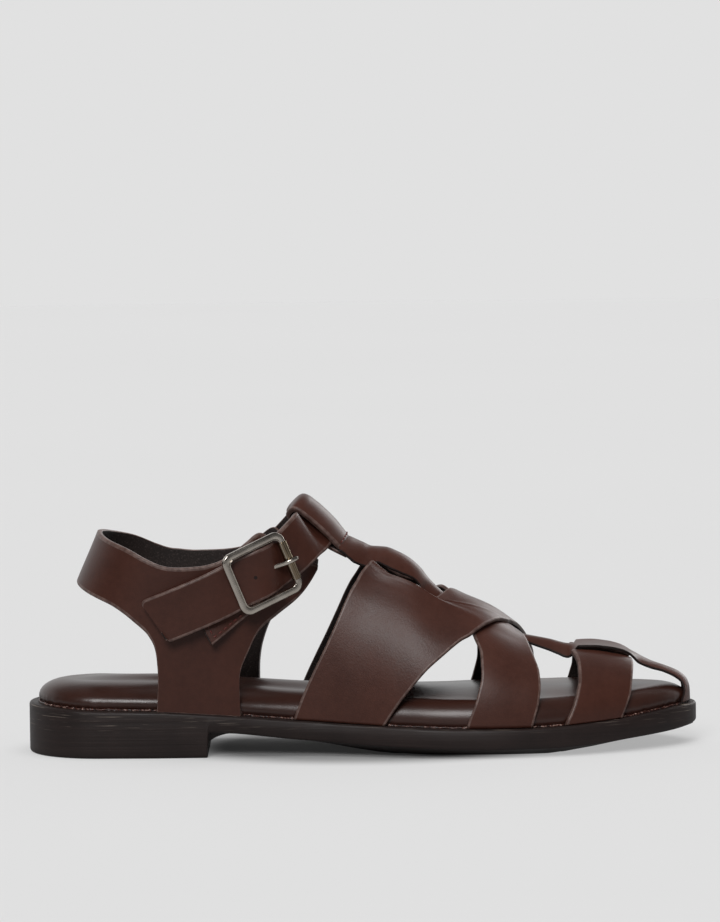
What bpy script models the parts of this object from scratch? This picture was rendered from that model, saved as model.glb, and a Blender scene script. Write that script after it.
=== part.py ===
"""Fisherman sandal, right shoe: moulded unit sole, padded insole, woven strap
upper with a T-bar, heel quarter, ankle strap and a centre-bar buckle with a
roller.

Sizes are in millimetres and are turned into metres when a mesh is made.
x runs from the rear of the heel to the toe, y from the lateral side (negative)
to the medial side, z up from the floor.
"""
import bpy
import bmesh
import math
import numpy as np
from mathutils import Matrix, Vector

MM = 0.001
LENGTH = 290.0            # outsole, heel to toe
GAP = 0.3                 # clearance between pieces that touch
WALL = 2.2                # strap leather with its lining
STRAP_INSET = 3.7         # lining side of the straps, in from the sole's rim
INSOLE_INSET = 4.3        # insole, in from the sole's rim
HEEL_ROUND = 34.0         # length over which the heel end rounds off
TOE_ROUND = 62.0          # length over which the toe end rounds off
TOE_POWER = 2.1           # fullness of the toe's curve
TOE_SWING = 4.0           # toe tip's offset towards the medial side
SWING_START = 200.0       # where that offset begins
BREAST = 78.0             # front face of the heel
MIDDLE = (LENGTH / 2, 2.3, 0.0)   # middle of the shoe's box, over the floor


def table(columns, *rows):
    """A table's columns by name, as arrays."""
    return dict(zip(columns.split(), np.array(rows, float).T))


def read(tab, name, at, key="x"):
    """Smooth reading of a column: a cubic through the rows that never overshoots."""
    knots, values = tab[key], tab[name]
    secant = np.diff(values) / np.diff(knots)
    product = secant[:-1] * secant[1:]
    total = np.where(product > 0, secant[:-1] + secant[1:], 1.0)
    inner = np.where(product > 0, 2 * product / total, 0.0)
    slope = np.concatenate([secant[:1], inner, secant[-1:]])
    at = np.clip(np.asarray(at, float), knots[0], knots[-1])
    i = np.clip(np.searchsorted(knots, at, side="right") - 1, 0, len(knots) - 2)
    step = knots[i + 1] - knots[i]
    u = (at - knots[i]) / step
    start = (1 + 2 * u) * (1 - u) ** 2 * values[i] + u * (1 - u) ** 2 * step * slope[i]
    end = u * u * (3 - 2 * u) * values[i + 1] + u * u * (u - 1) * step * slope[i + 1]
    return start + end


# ---------------------------------------------------------------- last and sole

# Half widths of the sole before its two ends are rounded off.
OUTLINE = table("x    lateral medial",
                (0,   34.0, 34.0),
                (33,  33.0, 33.5),
                (57,  34.0, 34.5),
                (80,  33.5, 33.0),
                (100, 32.0, 30.0),
                (119, 31.5, 28.5),
                (140, 35.0, 31.5),
                (160, 40.0, 37.5),
                (180, 44.0, 43.0),
                (200, 45.5, 48.0),
                (215, 44.5, 49.5),
                (230, 42.0, 49.0),
                (245, 39.0, 46.0),
                (290, 30.0, 32.0))

# Heights along the rim, and how far the middle of the underside swells below it.
SOLE = table("x    top   rim   swell",
             (0,   21.8, 0.0,  0.0),
             (30,  20.5, 0.0,  0.0),
             (57,  20.0, 0.0,  0.0),
             (78,  18.7, 0.0,  0.0),
             (79,  18.6, 6.2,  0.0),
             (81,  18.5, 8.6,  0.2),
             (85,  18.2, 9.9,  0.5),
             (118, 15.3, 7.0,  1.5),
             (145, 13.7, 5.0,  5.0),
             (165, 12.9, 4.2,  7.0),
             (185, 12.4, 3.5,  7.0),
             (220, 12.4, 3.4,  6.5),
             (240, 13.4, 4.0,  4.0),
             (258, 14.7, 5.6,  2.0),
             (280, 17.3, 7.6,  1.0),
             (290, 18.0, 9.3,  1.0))

# Padded insole: edge height over the sole's rim and extra height in the middle.
INSOLE = table("x    edge crown",
               (0,   4.5, 0.5),
               (25,  7.0, 2.5),
               (80,  7.0, 2.5),
               (120, 6.0, 2.5),
               (200, 5.6, 2.8),
               (265, 4.6, 2.2),
               (290, 3.0, 0.5))

# Ridge of the last's top and fullness of its cross-section.
LAST = table("x     ridge fullness",
             (100, 118.0, 2.0),
             (118, 101.0, 2.0),
             (135, 92.0,  2.0),
             (150, 81.5,  2.05),
             (165, 75.0,  2.1),
             (180, 64.5,  2.15),
             (200, 54.5,  2.25),
             (215, 46.5,  2.35),
             (235, 41.0,  2.4),
             (245, 40.0,  2.4),
             (255, 37.8,  2.4),
             (262, 35.4,  2.4),
             (275, 29.0,  2.4),
             (287, 18.0,  2.4))


def swing(x):
    """Sideways offset of the foot's middle line towards the toe."""
    u = np.clip((x - SWING_START) / (LENGTH - SWING_START), 0, 1)
    return TOE_SWING * u * u * (3 - 2 * u)


def half_width(x, side, inset=0.0):
    """Half width of the sole's outline, moved in by the inset all round."""
    heel = np.clip((HEEL_ROUND - x) / (HEEL_ROUND - inset), 0, 1)
    toe = np.clip((x - LENGTH + TOE_ROUND) / (TOE_ROUND - inset), 0, 1)
    ends = np.sqrt(1 - heel ** 2) * (1 - toe ** TOE_POWER) ** (1 / TOE_POWER)
    return (read(OUTLINE, side, x) - inset) * ends


def on_last(x, girth, lift=0.0):
    """Point of the last: girth runs from -1 (lateral feather) over 0 to +1 (medial)."""
    x, girth = np.broadcast_arrays(np.asarray(x, float), np.asarray(girth, float))
    lateral = half_width(x, "lateral", STRAP_INSET)
    medial = half_width(x, "medial", STRAP_INSET)
    half = np.where(girth < 0, lateral, medial) + lift
    foot = read(SOLE, "top", x) + GAP
    power = 2 / read(LAST, "fullness", x)
    turn = np.abs(girth) * math.pi / 2
    y = swing(x) + np.sign(girth) * half * np.sin(turn) ** power
    z = foot + (read(LAST, "ridge", x) + lift - foot) * np.cos(turn) ** power
    return np.stack([x, y, z], -1)


# ---------------------------------------------------------------- mesh helpers

def add_mesh(name, points, faces, collection):
    """Object in metres, round the shoe's middle, from points in millimetres."""
    metres = (np.reshape(points, (-1, 3)) - MIDDLE) * MM
    mesh = bpy.data.meshes.new(name)
    mesh.from_pydata(metres.tolist(), [], faces)
    mesh.update()
    obj = bpy.data.objects.new(name, mesh)
    collection.objects.link(obj)
    return obj


def grid_faces(rows, columns, closed=False):
    """Quads of a grid of points; a closed grid joins its last row to its first."""
    count = rows if closed else rows - 1
    faces = []
    for i in range(count):
        a, b = i * columns, (i + 1) % rows * columns
        faces += [(a + j, b + j, b + j + 1, a + j + 1) for j in range(columns - 1)]
    return faces


def add_sheet(name, points, collection, thickness=WALL, side=1, closed=False):
    """Strap or panel: an open surface given its leather's thickness on one side."""
    rows, columns = points.shape[:2]
    obj = add_mesh(name, points, grid_faces(rows, columns, closed), collection)
    solid = obj.modifiers.new("leather", "SOLIDIFY")
    solid.thickness = thickness * MM
    solid.offset = side
    return obj


def add_plate(name, levels, stations, across, collection):
    """Closed plate from a stack of outlines, underside first.

    A level is its inset and a function giving the height at a place along the
    plate and across it, where across runs from -1 to +1.
    """
    fraction = np.asarray(stations)
    last = len(fraction) - 1
    rim = 2 * last
    points, faces = [], []
    for inset, height in levels:
        x = inset + (LENGTH - 2 * inset) * fraction
        lateral = np.stack([x, swing(x) - half_width(x, "lateral", inset), height(x, -1.0)], -1)
        medial = np.stack([x, swing(x) + half_width(x, "medial", inset), height(x, 1.0)], -1)
        points.append(np.concatenate([lateral, medial[-2:0:-1]]))
    for k in range(len(levels) - 1):
        a, b = k * rim, (k + 1) * rim
        for i in range(rim):
            j = (i + 1) % rim
            faces.append((a + i, a + j, b + j, b + i))
    count = rim * len(levels)
    places = np.linspace(-1, 1, across + 1)[1:-1]
    for k, turned in ((0, True), (len(levels) - 1, False)):
        inset, height = levels[k]
        ring = points[k]
        rows = []
        for i in range(1, last):
            left, right = ring[i], ring[rim - i]
            share = (places[:, None] + 1) / 2
            row = left + (right - left) * share
            row[:, 2] = height(np.full(len(places), left[0]), places)
            points.append(row)
            inner = list(range(count, count + len(places)))
            rows.append([k * rim + i] + inner + [k * rim + rim - i])
            count += len(places)
        cap = []
        for row, following in zip(rows, rows[1:]):
            cap += [(row[j], following[j], following[j + 1], row[j + 1]) for j in range(across)]
        cap += [(k * rim, rows[0][j], rows[0][j + 1]) for j in range(across)]
        cap += [(k * rim + last, rows[-1][j + 1], rows[-1][j]) for j in range(across)]
        faces += [face[::-1] for face in cap] if turned else cap
    return add_mesh(name, np.concatenate(points), faces, collection)


def unite(target, others, operation="UNION"):
    """Joins or cuts with the exact solver, applies it and removes the tools."""
    for other in others:
        step = target.modifiers.new(operation.lower(), "BOOLEAN")
        step.operation = operation
        step.solver = "EXACT"
        step.object = other
    apply_all(target)
    for other in others:
        bpy.data.objects.remove(other)


def apply_all(obj):
    """Replaces an object's mesh by what its modifiers make of it."""
    graph = bpy.context.evaluated_depsgraph_get()
    graph.update()
    mesh = bpy.data.meshes.new_from_object(obj.evaluated_get(graph))
    obj.modifiers.clear()
    obj.data = mesh


def finish(obj, colour, roughness, metallic=0.0):
    """Names the material, sets its looks and shades the round stretches smooth."""
    material = bpy.data.materials.new(obj.name)
    material.use_nodes = True
    shader = material.node_tree.nodes["Principled BSDF"]
    shader.inputs["Base Color"].default_value = (*colour, 1.0)
    shader.inputs["Roughness"].default_value = roughness
    shader.inputs["Metallic"].default_value = metallic
    obj.data.materials.clear()
    obj.data.materials.append(material)
    obj.data.shade_smooth()
    obj.data.set_sharp_from_angle(angle=math.radians(40))


for old in list(bpy.data.objects):
    bpy.data.objects.remove(old)
parts = bpy.data.collections.new("fisherman_sandal")
bpy.context.scene.collection.children.link(parts)

BROWN_LEATHER = (0.045, 0.019, 0.016)
INSOLE_LEATHER = (0.040, 0.018, 0.015)
SOLE_RUBBER = (0.028, 0.022, 0.021)
GUNMETAL = (0.33, 0.29, 0.26)


# ---------------------------------------------------------------- outsole

SOLE_STATIONS = 37
RIM_ROUND = 1.0
# Extra stations, as distances from the heel's rear, that draw the heel's breast.
BREAST_STATIONS = (BREAST - 0.2, BREAST + 0.6, BREAST + 3, BREAST + 7)


def under_sole(x, v):
    """Underside: the heel is flat, the forefoot swells down to a flat patch."""
    rim, swell = read(SOLE, "rim", x), read(SOLE, "swell", x)
    return np.maximum(rim - swell * (1 - np.abs(v) ** 2.5), 0.0)


def sole_levels():
    """Outlines of the unit sole, from its underside to its top."""
    return [(RIM_ROUND, under_sole),
            (0.0, lambda x, v: under_sole(x, v) + RIM_ROUND),
            (0.0, lambda x, v: read(SOLE, "top", x) - RIM_ROUND),
            (RIM_ROUND, lambda x, v: read(SOLE, "top", x) + 0 * v)]


even = (1 - np.cos(np.linspace(0, math.pi, SOLE_STATIONS))) / 2
breast = np.array(BREAST_STATIONS) / LENGTH
clear = [f for f in even if np.min(np.abs(f - breast)) > 0.008]
outsole = add_plate("outsole", sole_levels(), np.sort(np.concatenate([clear, breast])), 6, parts)
finish(outsole, SOLE_RUBBER, 0.45)


# ---------------------------------------------------------------- insole

def insole_height(share, crown=0.0):
    """Height function at a share of the insole's edge, with some of its crown."""
    def height(x, v):
        base = read(SOLE, "top", x) + GAP
        swell = read(INSOLE, "crown", x) * (1 - np.abs(v) ** 2.4)
        return base + share * read(INSOLE, "edge", x) + crown * swell
    return height


insole_levels = [(INSOLE_INSET + 0.9, insole_height(0.0)),
                 (INSOLE_INSET, insole_height(0.18)),
                 (INSOLE_INSET + 0.2, insole_height(0.50)),
                 (INSOLE_INSET + 1.2, insole_height(0.80)),
                 (INSOLE_INSET + 4.0, insole_height(1.0, 1.0))]
insole = add_plate("insole", insole_levels, even, 6, parts)
finish(insole, INSOLE_LEATHER, 0.3)


# ---------------------------------------------------------------- upper: crossed bands

# Saddle band: rear and front edges and the height over the last, along the girth.
# It starts wide on one side, is cut away where the T-bar enters it, crosses the
# ridge and ends narrow on the other side, further forward.
SADDLE = table("girth   rear  front lift",
               (-1.00, 115.0, 155.5, 0.0),
               (-0.85, 123.0, 166.0, 0.0),
               (-0.70, 130.5, 176.5, 0.0),
               (-0.55, 137.5, 185.0, 0.0),
               (-0.40, 143.5, 193.0, 0.3),
               (-0.26, 148.5, 200.0, 1.2),
               (-0.19, 176.0, 202.5, 2.6),
               (-0.08, 179.0, 205.5, 4.4),
               (0.05,  182.0, 209.5, 4.8),
               (0.20,  186.5, 213.5, 3.6),
               (0.34,  191.5, 216.0, 1.4),
               (0.50,  195.0, 219.5, 0.2),
               (0.70,  196.5, 220.5, 0.0),
               (0.88,  194.5, 219.5, 0.0),
               (1.00,  190.5, 217.5, 0.0))
# How much of its height over the last the lower, mirrored saddle band keeps.
LOWER_LIFT = 0.0

# Toe band, the same on both sides.
TOE_BAND = table("girth   rear  front",
                 (-1.00, 230.5, 255.5),
                 (-0.90, 234.5, 259.5),
                 (-0.70, 237.0, 261.8),
                 (-0.45, 237.5, 262.5),
                 (0.00,  237.5, 263.0),
                 (0.45,  237.5, 262.5),
                 (0.70,  237.0, 261.8),
                 (0.90,  234.5, 259.5),
                 (1.00,  230.5, 255.5))


def band_points(tab, girths, across, mirror=1, lift_share=1.0):
    """Grid over the last between a band's two edges."""
    girths = np.asarray(girths)[:, None]
    rear, front = read(tab, "rear", girths, "girth"), read(tab, "front", girths, "girth")
    share = np.linspace(0, 1, across + 1)[None, :]
    lift = read(tab, "lift", girths, "girth") * lift_share if "lift" in tab else 0.0
    return on_last(rear + (front - rear) * share, mirror * girths + 0 * share, lift)


SADDLE_GIRTHS = np.concatenate([np.linspace(-1, -0.32, 10), np.linspace(-0.26, 0.34, 13),
                                np.linspace(0.42, 1, 8)])
TOE_GIRTHS = np.linspace(-1, 1, 21)

saddle = add_sheet("upper", band_points(SADDLE, SADDLE_GIRTHS, 5), parts, side=-1)
crossing = add_sheet("crossing", band_points(SADDLE, SADDLE_GIRTHS, 5, -1, LOWER_LIFT), parts)
toe_band = add_sheet("toe_band", band_points(TOE_BAND, TOE_GIRTHS, 4), parts, side=-1)


# ---------------------------------------------------------------- upper: T-bar

# Middle line of the T-bar's outer face, its half width and the radius that it is
# bent to over the foot. It lies on the saddle, dives under the crossing, lies on
# the toe band and turns down to the sole at the toe.
T_BAR = table("x      z      half  radius",
              (138.0, 94.8,  13.6, 18.3),
              (141.0, 91.2,  14.0, 18.3),
              (144.5, 88.6,  14.2, 18.0),
              (149.0, 87.6,  11.6, 16.5),
              (155.0, 86.9,  11.5, 15.0),
              (162.0, 83.6,  12.0, 15.0),
              (169.0, 78.2,  9.5,  15.0),
              (176.0, 71.5,  6.5,  15.0),
              (183.0, 67.0,  5.0,  18.0),
              (200.0, 58.5,  5.0,  20.0),
              (211.0, 51.0,  5.0,  20.0),
              (218.0, 46.9,  6.0,  18.0),
              (226.0, 45.6,  9.5,  16.0),
              (236.0, 44.0,  12.0, 16.0),
              (248.0, 43.2,  12.0, 16.0),
              (258.0, 41.2,  10.5, 16.0),
              (264.0, 38.5,  8.5,  16.0),
              (269.5, 35.6,  6.5,  16.0),
              (276.0, 33.6,  6.0,  16.0),
              (282.0, 31.0,  6.0,  16.0),
              (286.0, 27.2,  6.0,  18.0),
              (287.9, 23.0,  6.3,  20.0),
              (288.4, 18.3,  6.5,  20.0))

# Loop at the T-bar's rear end, folded round the ankle strap and sewn down under
# the T-bar. It is bent round an axis that runs down along the T-bar, LOOP_RADIUS
# below the ridge of its top. The table is the middle of its upper leather.
LOOP_TOP = (127.0, 106.0)
LOOP_TILT = 38.5
LOOP_RADIUS = 20.0
LOOP_TURN = 47.5          # degrees that it reaches round to each side
LOOP_FLOOR = 9.0          # depth of the leather under the ankle strap
LOOP = table("run    depth",
             (-8.9,  2.9),
             (-4.2,  1.5),
             (0.0,   1.1),
             (4.5,   1.15),
             (9.6,   1.6),
             (14.0,  2.6),
             (17.0,  3.6))
FOLD_STEPS = 5


def along(tab, count):
    """Evenly spaced readings of every column along a table's (x, z) path."""
    steps = np.hypot(np.diff(tab["x"]), np.diff(tab["z"]))
    placed = dict(tab, run=np.concatenate([[0], np.cumsum(steps)]))
    at = np.linspace(0, placed["run"][-1], count)
    return {name: read(placed, name, at, "run") for name in tab}


def normals_2d(x, z):
    """Unit normals of an (x, z) path, on its left as it runs."""
    dx, dz = np.gradient(x), np.gradient(z)
    size = np.hypot(dx, dz)
    return -dz / size, dx / size


def bent_strip(x, z, half, radius, inward, across):
    """Strip along a path, bent round the foot; inward is the path's inner normal."""
    nx, nz = inward
    v = np.linspace(-1, 1, across + 1)[None, :]
    half, radius = np.broadcast_to(half, x.shape), np.broadcast_to(radius, x.shape)
    y = half[:, None] * v
    drop = radius[:, None] - np.sqrt(radius[:, None] ** 2 - y ** 2)
    return np.stack([x[:, None] + nx[:, None] * drop,
                     swing(x)[:, None] + y,
                     z[:, None] + nz[:, None] * drop], -1)


bar = along(T_BAR, 42)
nx, nz = normals_2d(bar["x"], bar["z"])
t_points = bent_strip(bar["x"], bar["z"], bar["half"], bar["radius"], (-nx, -nz), 6)
t_bar = add_sheet("t_bar", t_points, parts, side=-1)


def round_loop(run, depth, turn):
    """Point in the loop, from its run, the depth under its top and degrees round it."""
    run, depth, turn = np.broadcast_arrays(run, depth, turn)
    tilt, angle = math.radians(LOOP_TILT), np.radians(turn)
    below = LOOP_RADIUS - (LOOP_RADIUS - depth) * np.cos(angle)
    return np.stack([LOOP_TOP[0] + run * math.cos(tilt) - below * math.sin(tilt),
                     (LOOP_RADIUS - depth) * np.sin(angle),
                     LOOP_TOP[1] - run * math.sin(tilt) - below * math.cos(tilt)], -1)


def loop_ring():
    """Closed course of the loop's leather: over the strap, round, and back under."""
    over = np.linspace(LOOP["run"][0], LOOP["run"][-1], 9)
    under = over[::-1]
    top = read(LOOP, "depth", over, "run")
    turn = np.linspace(0, math.pi, FOLD_STEPS + 1)[1:-1]
    front, rear = (LOOP_FLOOR - top[-1]) / 2, (LOOP_FLOOR - top[0]) / 2
    run = [over, over[-1] + front * np.sin(turn), under, over[0] - rear * np.sin(turn)]
    depth = [top, LOOP_FLOOR - front * (1 + np.cos(turn)), np.full(len(under), LOOP_FLOOR),
             LOOP_FLOOR - rear * (1 - np.cos(turn))]
    return np.concatenate(run), np.concatenate(depth)


ring_run, ring_depth = loop_ring()
ring_turn = np.linspace(-LOOP_TURN, LOOP_TURN, 7)
loop_points = round_loop(ring_run[:, None], ring_depth[:, None], ring_turn[None, :])
loop = add_sheet("loop", loop_points, parts, side=0, closed=True)
unite(saddle, [crossing, toe_band, t_bar, loop])
upper = saddle
finish(upper, BROWN_LEATHER, 0.4)


# ---------------------------------------------------------------- quarter

# Level sections of the ankle: rear and front ends, half width and fullness.
ANKLE_MIDDLE = 62.0
ANKLE = table("z    rear  front  half  fullness",
              (18,  3.7,  122.0, 30.3, 2.8),
              (35,  8.5,  125.0, 31.5, 2.5),
              (50,  14.0, 127.0, 32.0, 2.3),
              (74,  23.6, 128.0, 32.5, 2.05),
              (97,  33.5, 128.0, 32.5, 2.0),
              (115, 40.0, 126.0, 32.0, 2.0))

# The quarter from the middle of the heel to the tip of its front wing: lower and
# upper edges as turns round the ankle in degrees and heights. A low height of 0
# stands on the sole. The medial side sits forward by some degrees, and its upper
# edge rises by some millimetres.
QUARTER = table("row low_turn low_z top_turn top_z forward rise",
                (0,  0.0,   73.9, 0.0,   96.1, 0.0, 0.0),
                (1,  22.0,  71.8, 19.0,  95.0, 0.9, 0.2),
                (2,  57.0,  65.8, 55.0,  90.8, 1.8, 0.5),
                (3,  73.4,  58.9, 75.0,  85.8, 2.7, 0.8),
                (4,  82.0,  52.9, 83.5,  83.6, 3.6, 1.0),
                (5,  85.5,  46.9, 88.0,  82.8, 4.5, 1.2),
                (6,  87.0,  38.0, 91.0,  82.4, 4.5, 1.2),
                (7,  88.7,  0.0,  94.0,  82.2, 4.5, 1.2),
                (8,  100.0, 0.0,  101.0, 82.5, 4.5, 1.2),
                (9,  111.4, 0.0,  107.5, 84.0, 4.5, 1.0),
                (10, 114.0, 34.8, 113.5, 87.2, 4.5, 0.2),
                (11, 117.2, 44.5, 119.5, 92.0, 5.0, -1.2),
                (12, 122.8, 54.3, 126.0, 96.2, 5.5, -2.4),
                (13, 132.2, 60.7, 133.0, 92.0, 4.0, -1.5),
                (14, 145.5, 68.0, 146.0, 84.0, 2.0, -0.5),
                (15, 159.5, 78.0, 160.5, 81.0, 0.0, 0.0))


def round_ankle(turn, z, side, lift=0.0):
    """Point round the ankle: 0 degrees is the middle of the heel, side is -1 or +1."""
    angle = np.radians(turn)
    power = 2 / read(ANKLE, "fullness", z, "z")
    rear = ANKLE_MIDDLE - read(ANKLE, "rear", z, "z") + lift
    front = read(ANKLE, "front", z, "z") - ANKLE_MIDDLE + lift
    reach = np.where(angle < math.pi / 2, -rear, front) * np.abs(np.cos(angle)) ** power
    half = (read(ANKLE, "half", z, "z") + lift) * np.abs(np.sin(angle)) ** power
    return np.stack([ANKLE_MIDDLE + reach, side * half, z + 0 * angle], -1)


def quarter_half(side, columns, across):
    """One side of the quarter, from the middle of the heel to the wing's tip."""
    at = np.linspace(0, len(QUARTER["row"]) - 1, columns)
    forward = read(QUARTER, "forward", at, "row") * (side > 0)
    rise = read(QUARTER, "rise", at, "row") * (side > 0)
    low_turn = read(QUARTER, "low_turn", at, "row") + forward
    top_turn = read(QUARTER, "top_turn", at, "row") + forward
    top_z = read(QUARTER, "top_z", at, "row") + rise
    low_z = read(QUARTER, "low_z", at, "row")
    foot_x = round_ankle(low_turn, np.full(columns, 19.0), side)[:, 0]
    low_z = np.maximum(low_z, read(SOLE, "top", foot_x) + 1.5 * GAP)
    share = np.linspace(0, 1, across + 1)[None, :]
    turn = low_turn[:, None] + (top_turn - low_turn)[:, None] * share
    height = low_z[:, None] + (top_z - low_z)[:, None] * share
    return round_ankle(turn, height, side)


lateral_half = quarter_half(-1, 36, 5)
medial_half = quarter_half(1, 36, 5)
quarter = add_sheet("quarter", np.concatenate([lateral_half[::-1], medial_half[1:]]), parts, side=-1)
apply_all(quarter)
finish(quarter, BROWN_LEATHER, 0.4)


# ---------------------------------------------------------------- buckle's place

# The buckle lies over the lateral wing; its middle, and its strap's direction up
# to the front. The frame's own axes are along the strap, across it and outward.
BUCKLE = np.array([102.6, -36.5, 79.6])
BUCKLE_AHEAD = 21.0       # degrees that the strap turns in towards the front
BUCKLE_CLIMB = 22.5       # degrees that it climbs
BUCKLE_LEAN = 2.0

climb, ahead_angle = math.radians(BUCKLE_CLIMB), math.radians(BUCKLE_AHEAD)
U_AXIS = np.array([math.cos(climb) * math.cos(ahead_angle),
                   math.cos(climb) * math.sin(ahead_angle), math.sin(climb)])
flat_up = np.array([0, 0, 1.0]) - U_AXIS * U_AXIS[2]
flat_up /= np.linalg.norm(flat_up)
flat_out = np.cross(U_AXIS, flat_up)
lean = math.radians(BUCKLE_LEAN)
W_AXIS = flat_up * math.cos(lean) - flat_out * math.sin(lean)
N_AXIS = np.cross(U_AXIS, W_AXIS)


def at_buckle(u, w, n):
    """Point in the buckle's own axes: along the strap, across it and outward."""
    u, w, n = np.broadcast_arrays(*(np.asarray(value, float)[..., None] for value in (u, w, n)))
    return BUCKLE + u * U_AXIS + w * W_AXIS + n * N_AXIS


def add_block(name, along_strap, across_strap, outward):
    """Box between limits in the buckle's own axes, for lugs and as a cutter."""
    bpy.ops.mesh.primitive_cube_add(size=MM)
    obj = bpy.context.object
    obj.name = name
    for collection in list(obj.users_collection):
        collection.objects.unlink(obj)
    parts.objects.link(obj)
    limits = np.array([along_strap, across_strap, outward])
    middle = at_buckle(*limits.mean(1)) - MIDDLE
    axes = Matrix((U_AXIS, W_AXIS, N_AXIS)).transposed().to_4x4()
    size = Matrix.Diagonal((*np.ptp(limits, axis=1), 1.0))
    obj.data.transform(Matrix.Translation(Vector(middle * MM)) @ axes @ size)
    return obj


BAR_HALF = 1.25           # radius of the frame's wire
END_BARS = 13.4           # end bars, from the middle
SIDE_BARS = 12.4          # side bars, from the middle
CORNER = 3.0              # radius of the frame's corners
PIVOT = 1.0               # radius of the centre bar
PIVOT_DEPTH = -4.7        # centre bar below the frame
ROLLER_BORE = BAR_HALF + GAP
ROLLER_HALF = 2.0
ROLLER_LENGTH = 17.6
PRONG_HALF = 0.7
PRONG_SLOT = 2.4


# ---------------------------------------------------------------- ankle strap

STRAP_WIDTH = 21.0
# Middle line of the end sewn to the medial wing; lean tips its upper edge back.
STRAP_SEWN = table("x      y     z     lean",
                   (92.0,  33.6,  76.0,  2),
                   (102.0, 31.6,  80.5,  4),
                   (110.0, 29.2,  84.6,  12))
# Its course through the loop, in the loop's own terms, the same on both sides.
STRAP_LOOPED = table("turn  run   depth lean",
                     (0.0,  3.8,  5.5,  51.5),
                     (15.0, 3.8,  5.5,  50.5),
                     (30.0, 3.8,  5.5,  47.5),
                     (42.0, 3.7,  6.0,  49.0),
                     (51.0, 4.0,  6.8,  55.0),
                     (58.0, 3.7,  4.6,  47.0),
                     (63.0, 3.2,  -0.5, 32.0))
# Its course through the buckle: under the roller, over the centre bar and under
# the rear bar, then free to the tip, in the buckle's own axes.
STRAP_BUCKLED = table("u      w     n     lean",
                      (17.5,  2.4,  -4.3,  4),
                      (13.4,  1.1,  -4.5,  0),
                      (10.0,  0.3,  -3.7,  0),
                      (6.5,   0.0,  -1.5,  0),
                      (3.0,   0.0,  0.1,   0),
                      (0.0,   0.0,  0.5,   0),
                      (-4.0,  0.0,  -0.3,  0),
                      (-8.5,  -0.1, -2.2,  0),
                      (-13.4, -0.5, -3.3,  0),
                      (-22.0, -1.0, -4.6,  0),
                      (-34.0, -1.2, -8.6,  0),
                      (-46.0, -1.3, -14.0, 0),
                      (-50.0, -1.4, -16.2, 0))
TIP_CORNER = 2.0
TIP_SLANT = 4.4           # the lower corner of the tip is cut back by this
TIP_REACH = 16.0          # length over which the slant fades out
SMOOTHING = 3             # passes that ease the course between the tables' rows


def strap_middle():
    """Middle line of the ankle strap and its lean, from the medial end to the tip."""
    sewn = np.stack([STRAP_SEWN[name] for name in ("x", "y", "z", "lean")], -1)
    looped = round_loop(*(STRAP_LOOPED[name] for name in ("run", "depth", "turn")))
    looped = np.concatenate([looped, STRAP_LOOPED["lean"][:, None]], 1)
    buckled = at_buckle(*(STRAP_BUCKLED[name] for name in ("u", "w", "n")))
    buckled = np.concatenate([buckled, STRAP_BUCKLED["lean"][:, None]], 1)
    rows = np.concatenate([sewn, looped[:0:-1], looped * (1, -1, 1, 1), buckled])
    line, lean = rows[:, :3], rows[:, 3]
    run = np.concatenate([[0], np.cumsum(np.linalg.norm(np.diff(line, axis=0), axis=1))])
    at = np.linspace(0, run[-1], 56)
    tab = dict(run=run, x=line[:, 0], y=line[:, 1], z=line[:, 2], lean=lean)
    course = np.stack([read(tab, name, at, "run") for name in ("x", "y", "z", "lean")], -1)
    for _ in range(SMOOTHING):
        course[1:-1] = (course[:-2] + 2 * course[1:-1] + course[2:]) / 4
    return course[:, :3], course[:, 3]


def strap_points(across):
    """Grid of the ankle strap's middle surface."""
    line, lean = strap_middle()
    tangent = np.gradient(line, axis=0)
    tangent /= np.linalg.norm(tangent, axis=1)[:, None]
    up = np.array([0, 0, 1.0]) - tangent * tangent[:, 2:]
    up /= np.linalg.norm(up, axis=1)[:, None]
    out = np.cross(up, tangent)
    angle = np.radians(lean)[:, None]
    width = up * np.cos(angle) - out * np.sin(angle)
    from_tip = np.linalg.norm(line - line[-1], axis=1)
    inside = np.clip(TIP_CORNER - from_tip, 0, TIP_CORNER)
    half = STRAP_WIDTH / 2 - TIP_CORNER + np.sqrt(TIP_CORNER ** 2 - inside ** 2)
    v = np.linspace(-1, 1, across + 1)[None, :, None]
    cut_back = TIP_SLANT * np.clip(1 - from_tip / TIP_REACH, 0, 1)[:, None, None] * (1 - v) / 2
    return line[:, None] + width[:, None] * half[:, None, None] * v - tangent[:, None] * cut_back


ankle_strap = add_sheet("ankle_strap", strap_points(4), parts, side=0)
prong_hole = add_block("prong_hole", (3.6, 10.9), (-PRONG_SLOT / 2, PRONG_SLOT / 2), (-5, 2))
unite(ankle_strap, [prong_hole], "DIFFERENCE")
finish(ankle_strap, BROWN_LEATHER, 0.4)


# ---------------------------------------------------------------- buckle tab

# The tab's sewn tail: its middle depth below the frame, along the strap. It is
# two leathers thick, lies on the quarter and is set askew to the strap.
TAB_LEATHER = 1.2
TAB_HALF = 8.5
TAB_SKEW = math.tan(math.radians(14))
TAB_TILT = 0.0028
TAB = table("u      n",
            (-27.0, -9.5),
            (-22.0, -8.6),
            (-18.0, -8.4),
            (-14.0, -7.8),
            (-10.0, -7.2),
            (-4.5,  -6.6))
EYE_HALF = PIVOT + 1.5 * GAP + TAB_LEATHER / 2
EYE_TAIL = (-5.5, -6.4)


def tab_points(u, n, across):
    """Grid of the tab: a path along the strap carried across the tab's width."""
    w = np.linspace(-TAB_HALF, TAB_HALF, across + 1)[None, :]
    depth = n[:, None] + TAB_TILT * np.minimum(u, 0)[:, None] * w
    return at_buckle(u[:, None] + 0 * w, w + TAB_SKEW * np.minimum(u, 0)[:, None], depth)


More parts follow.
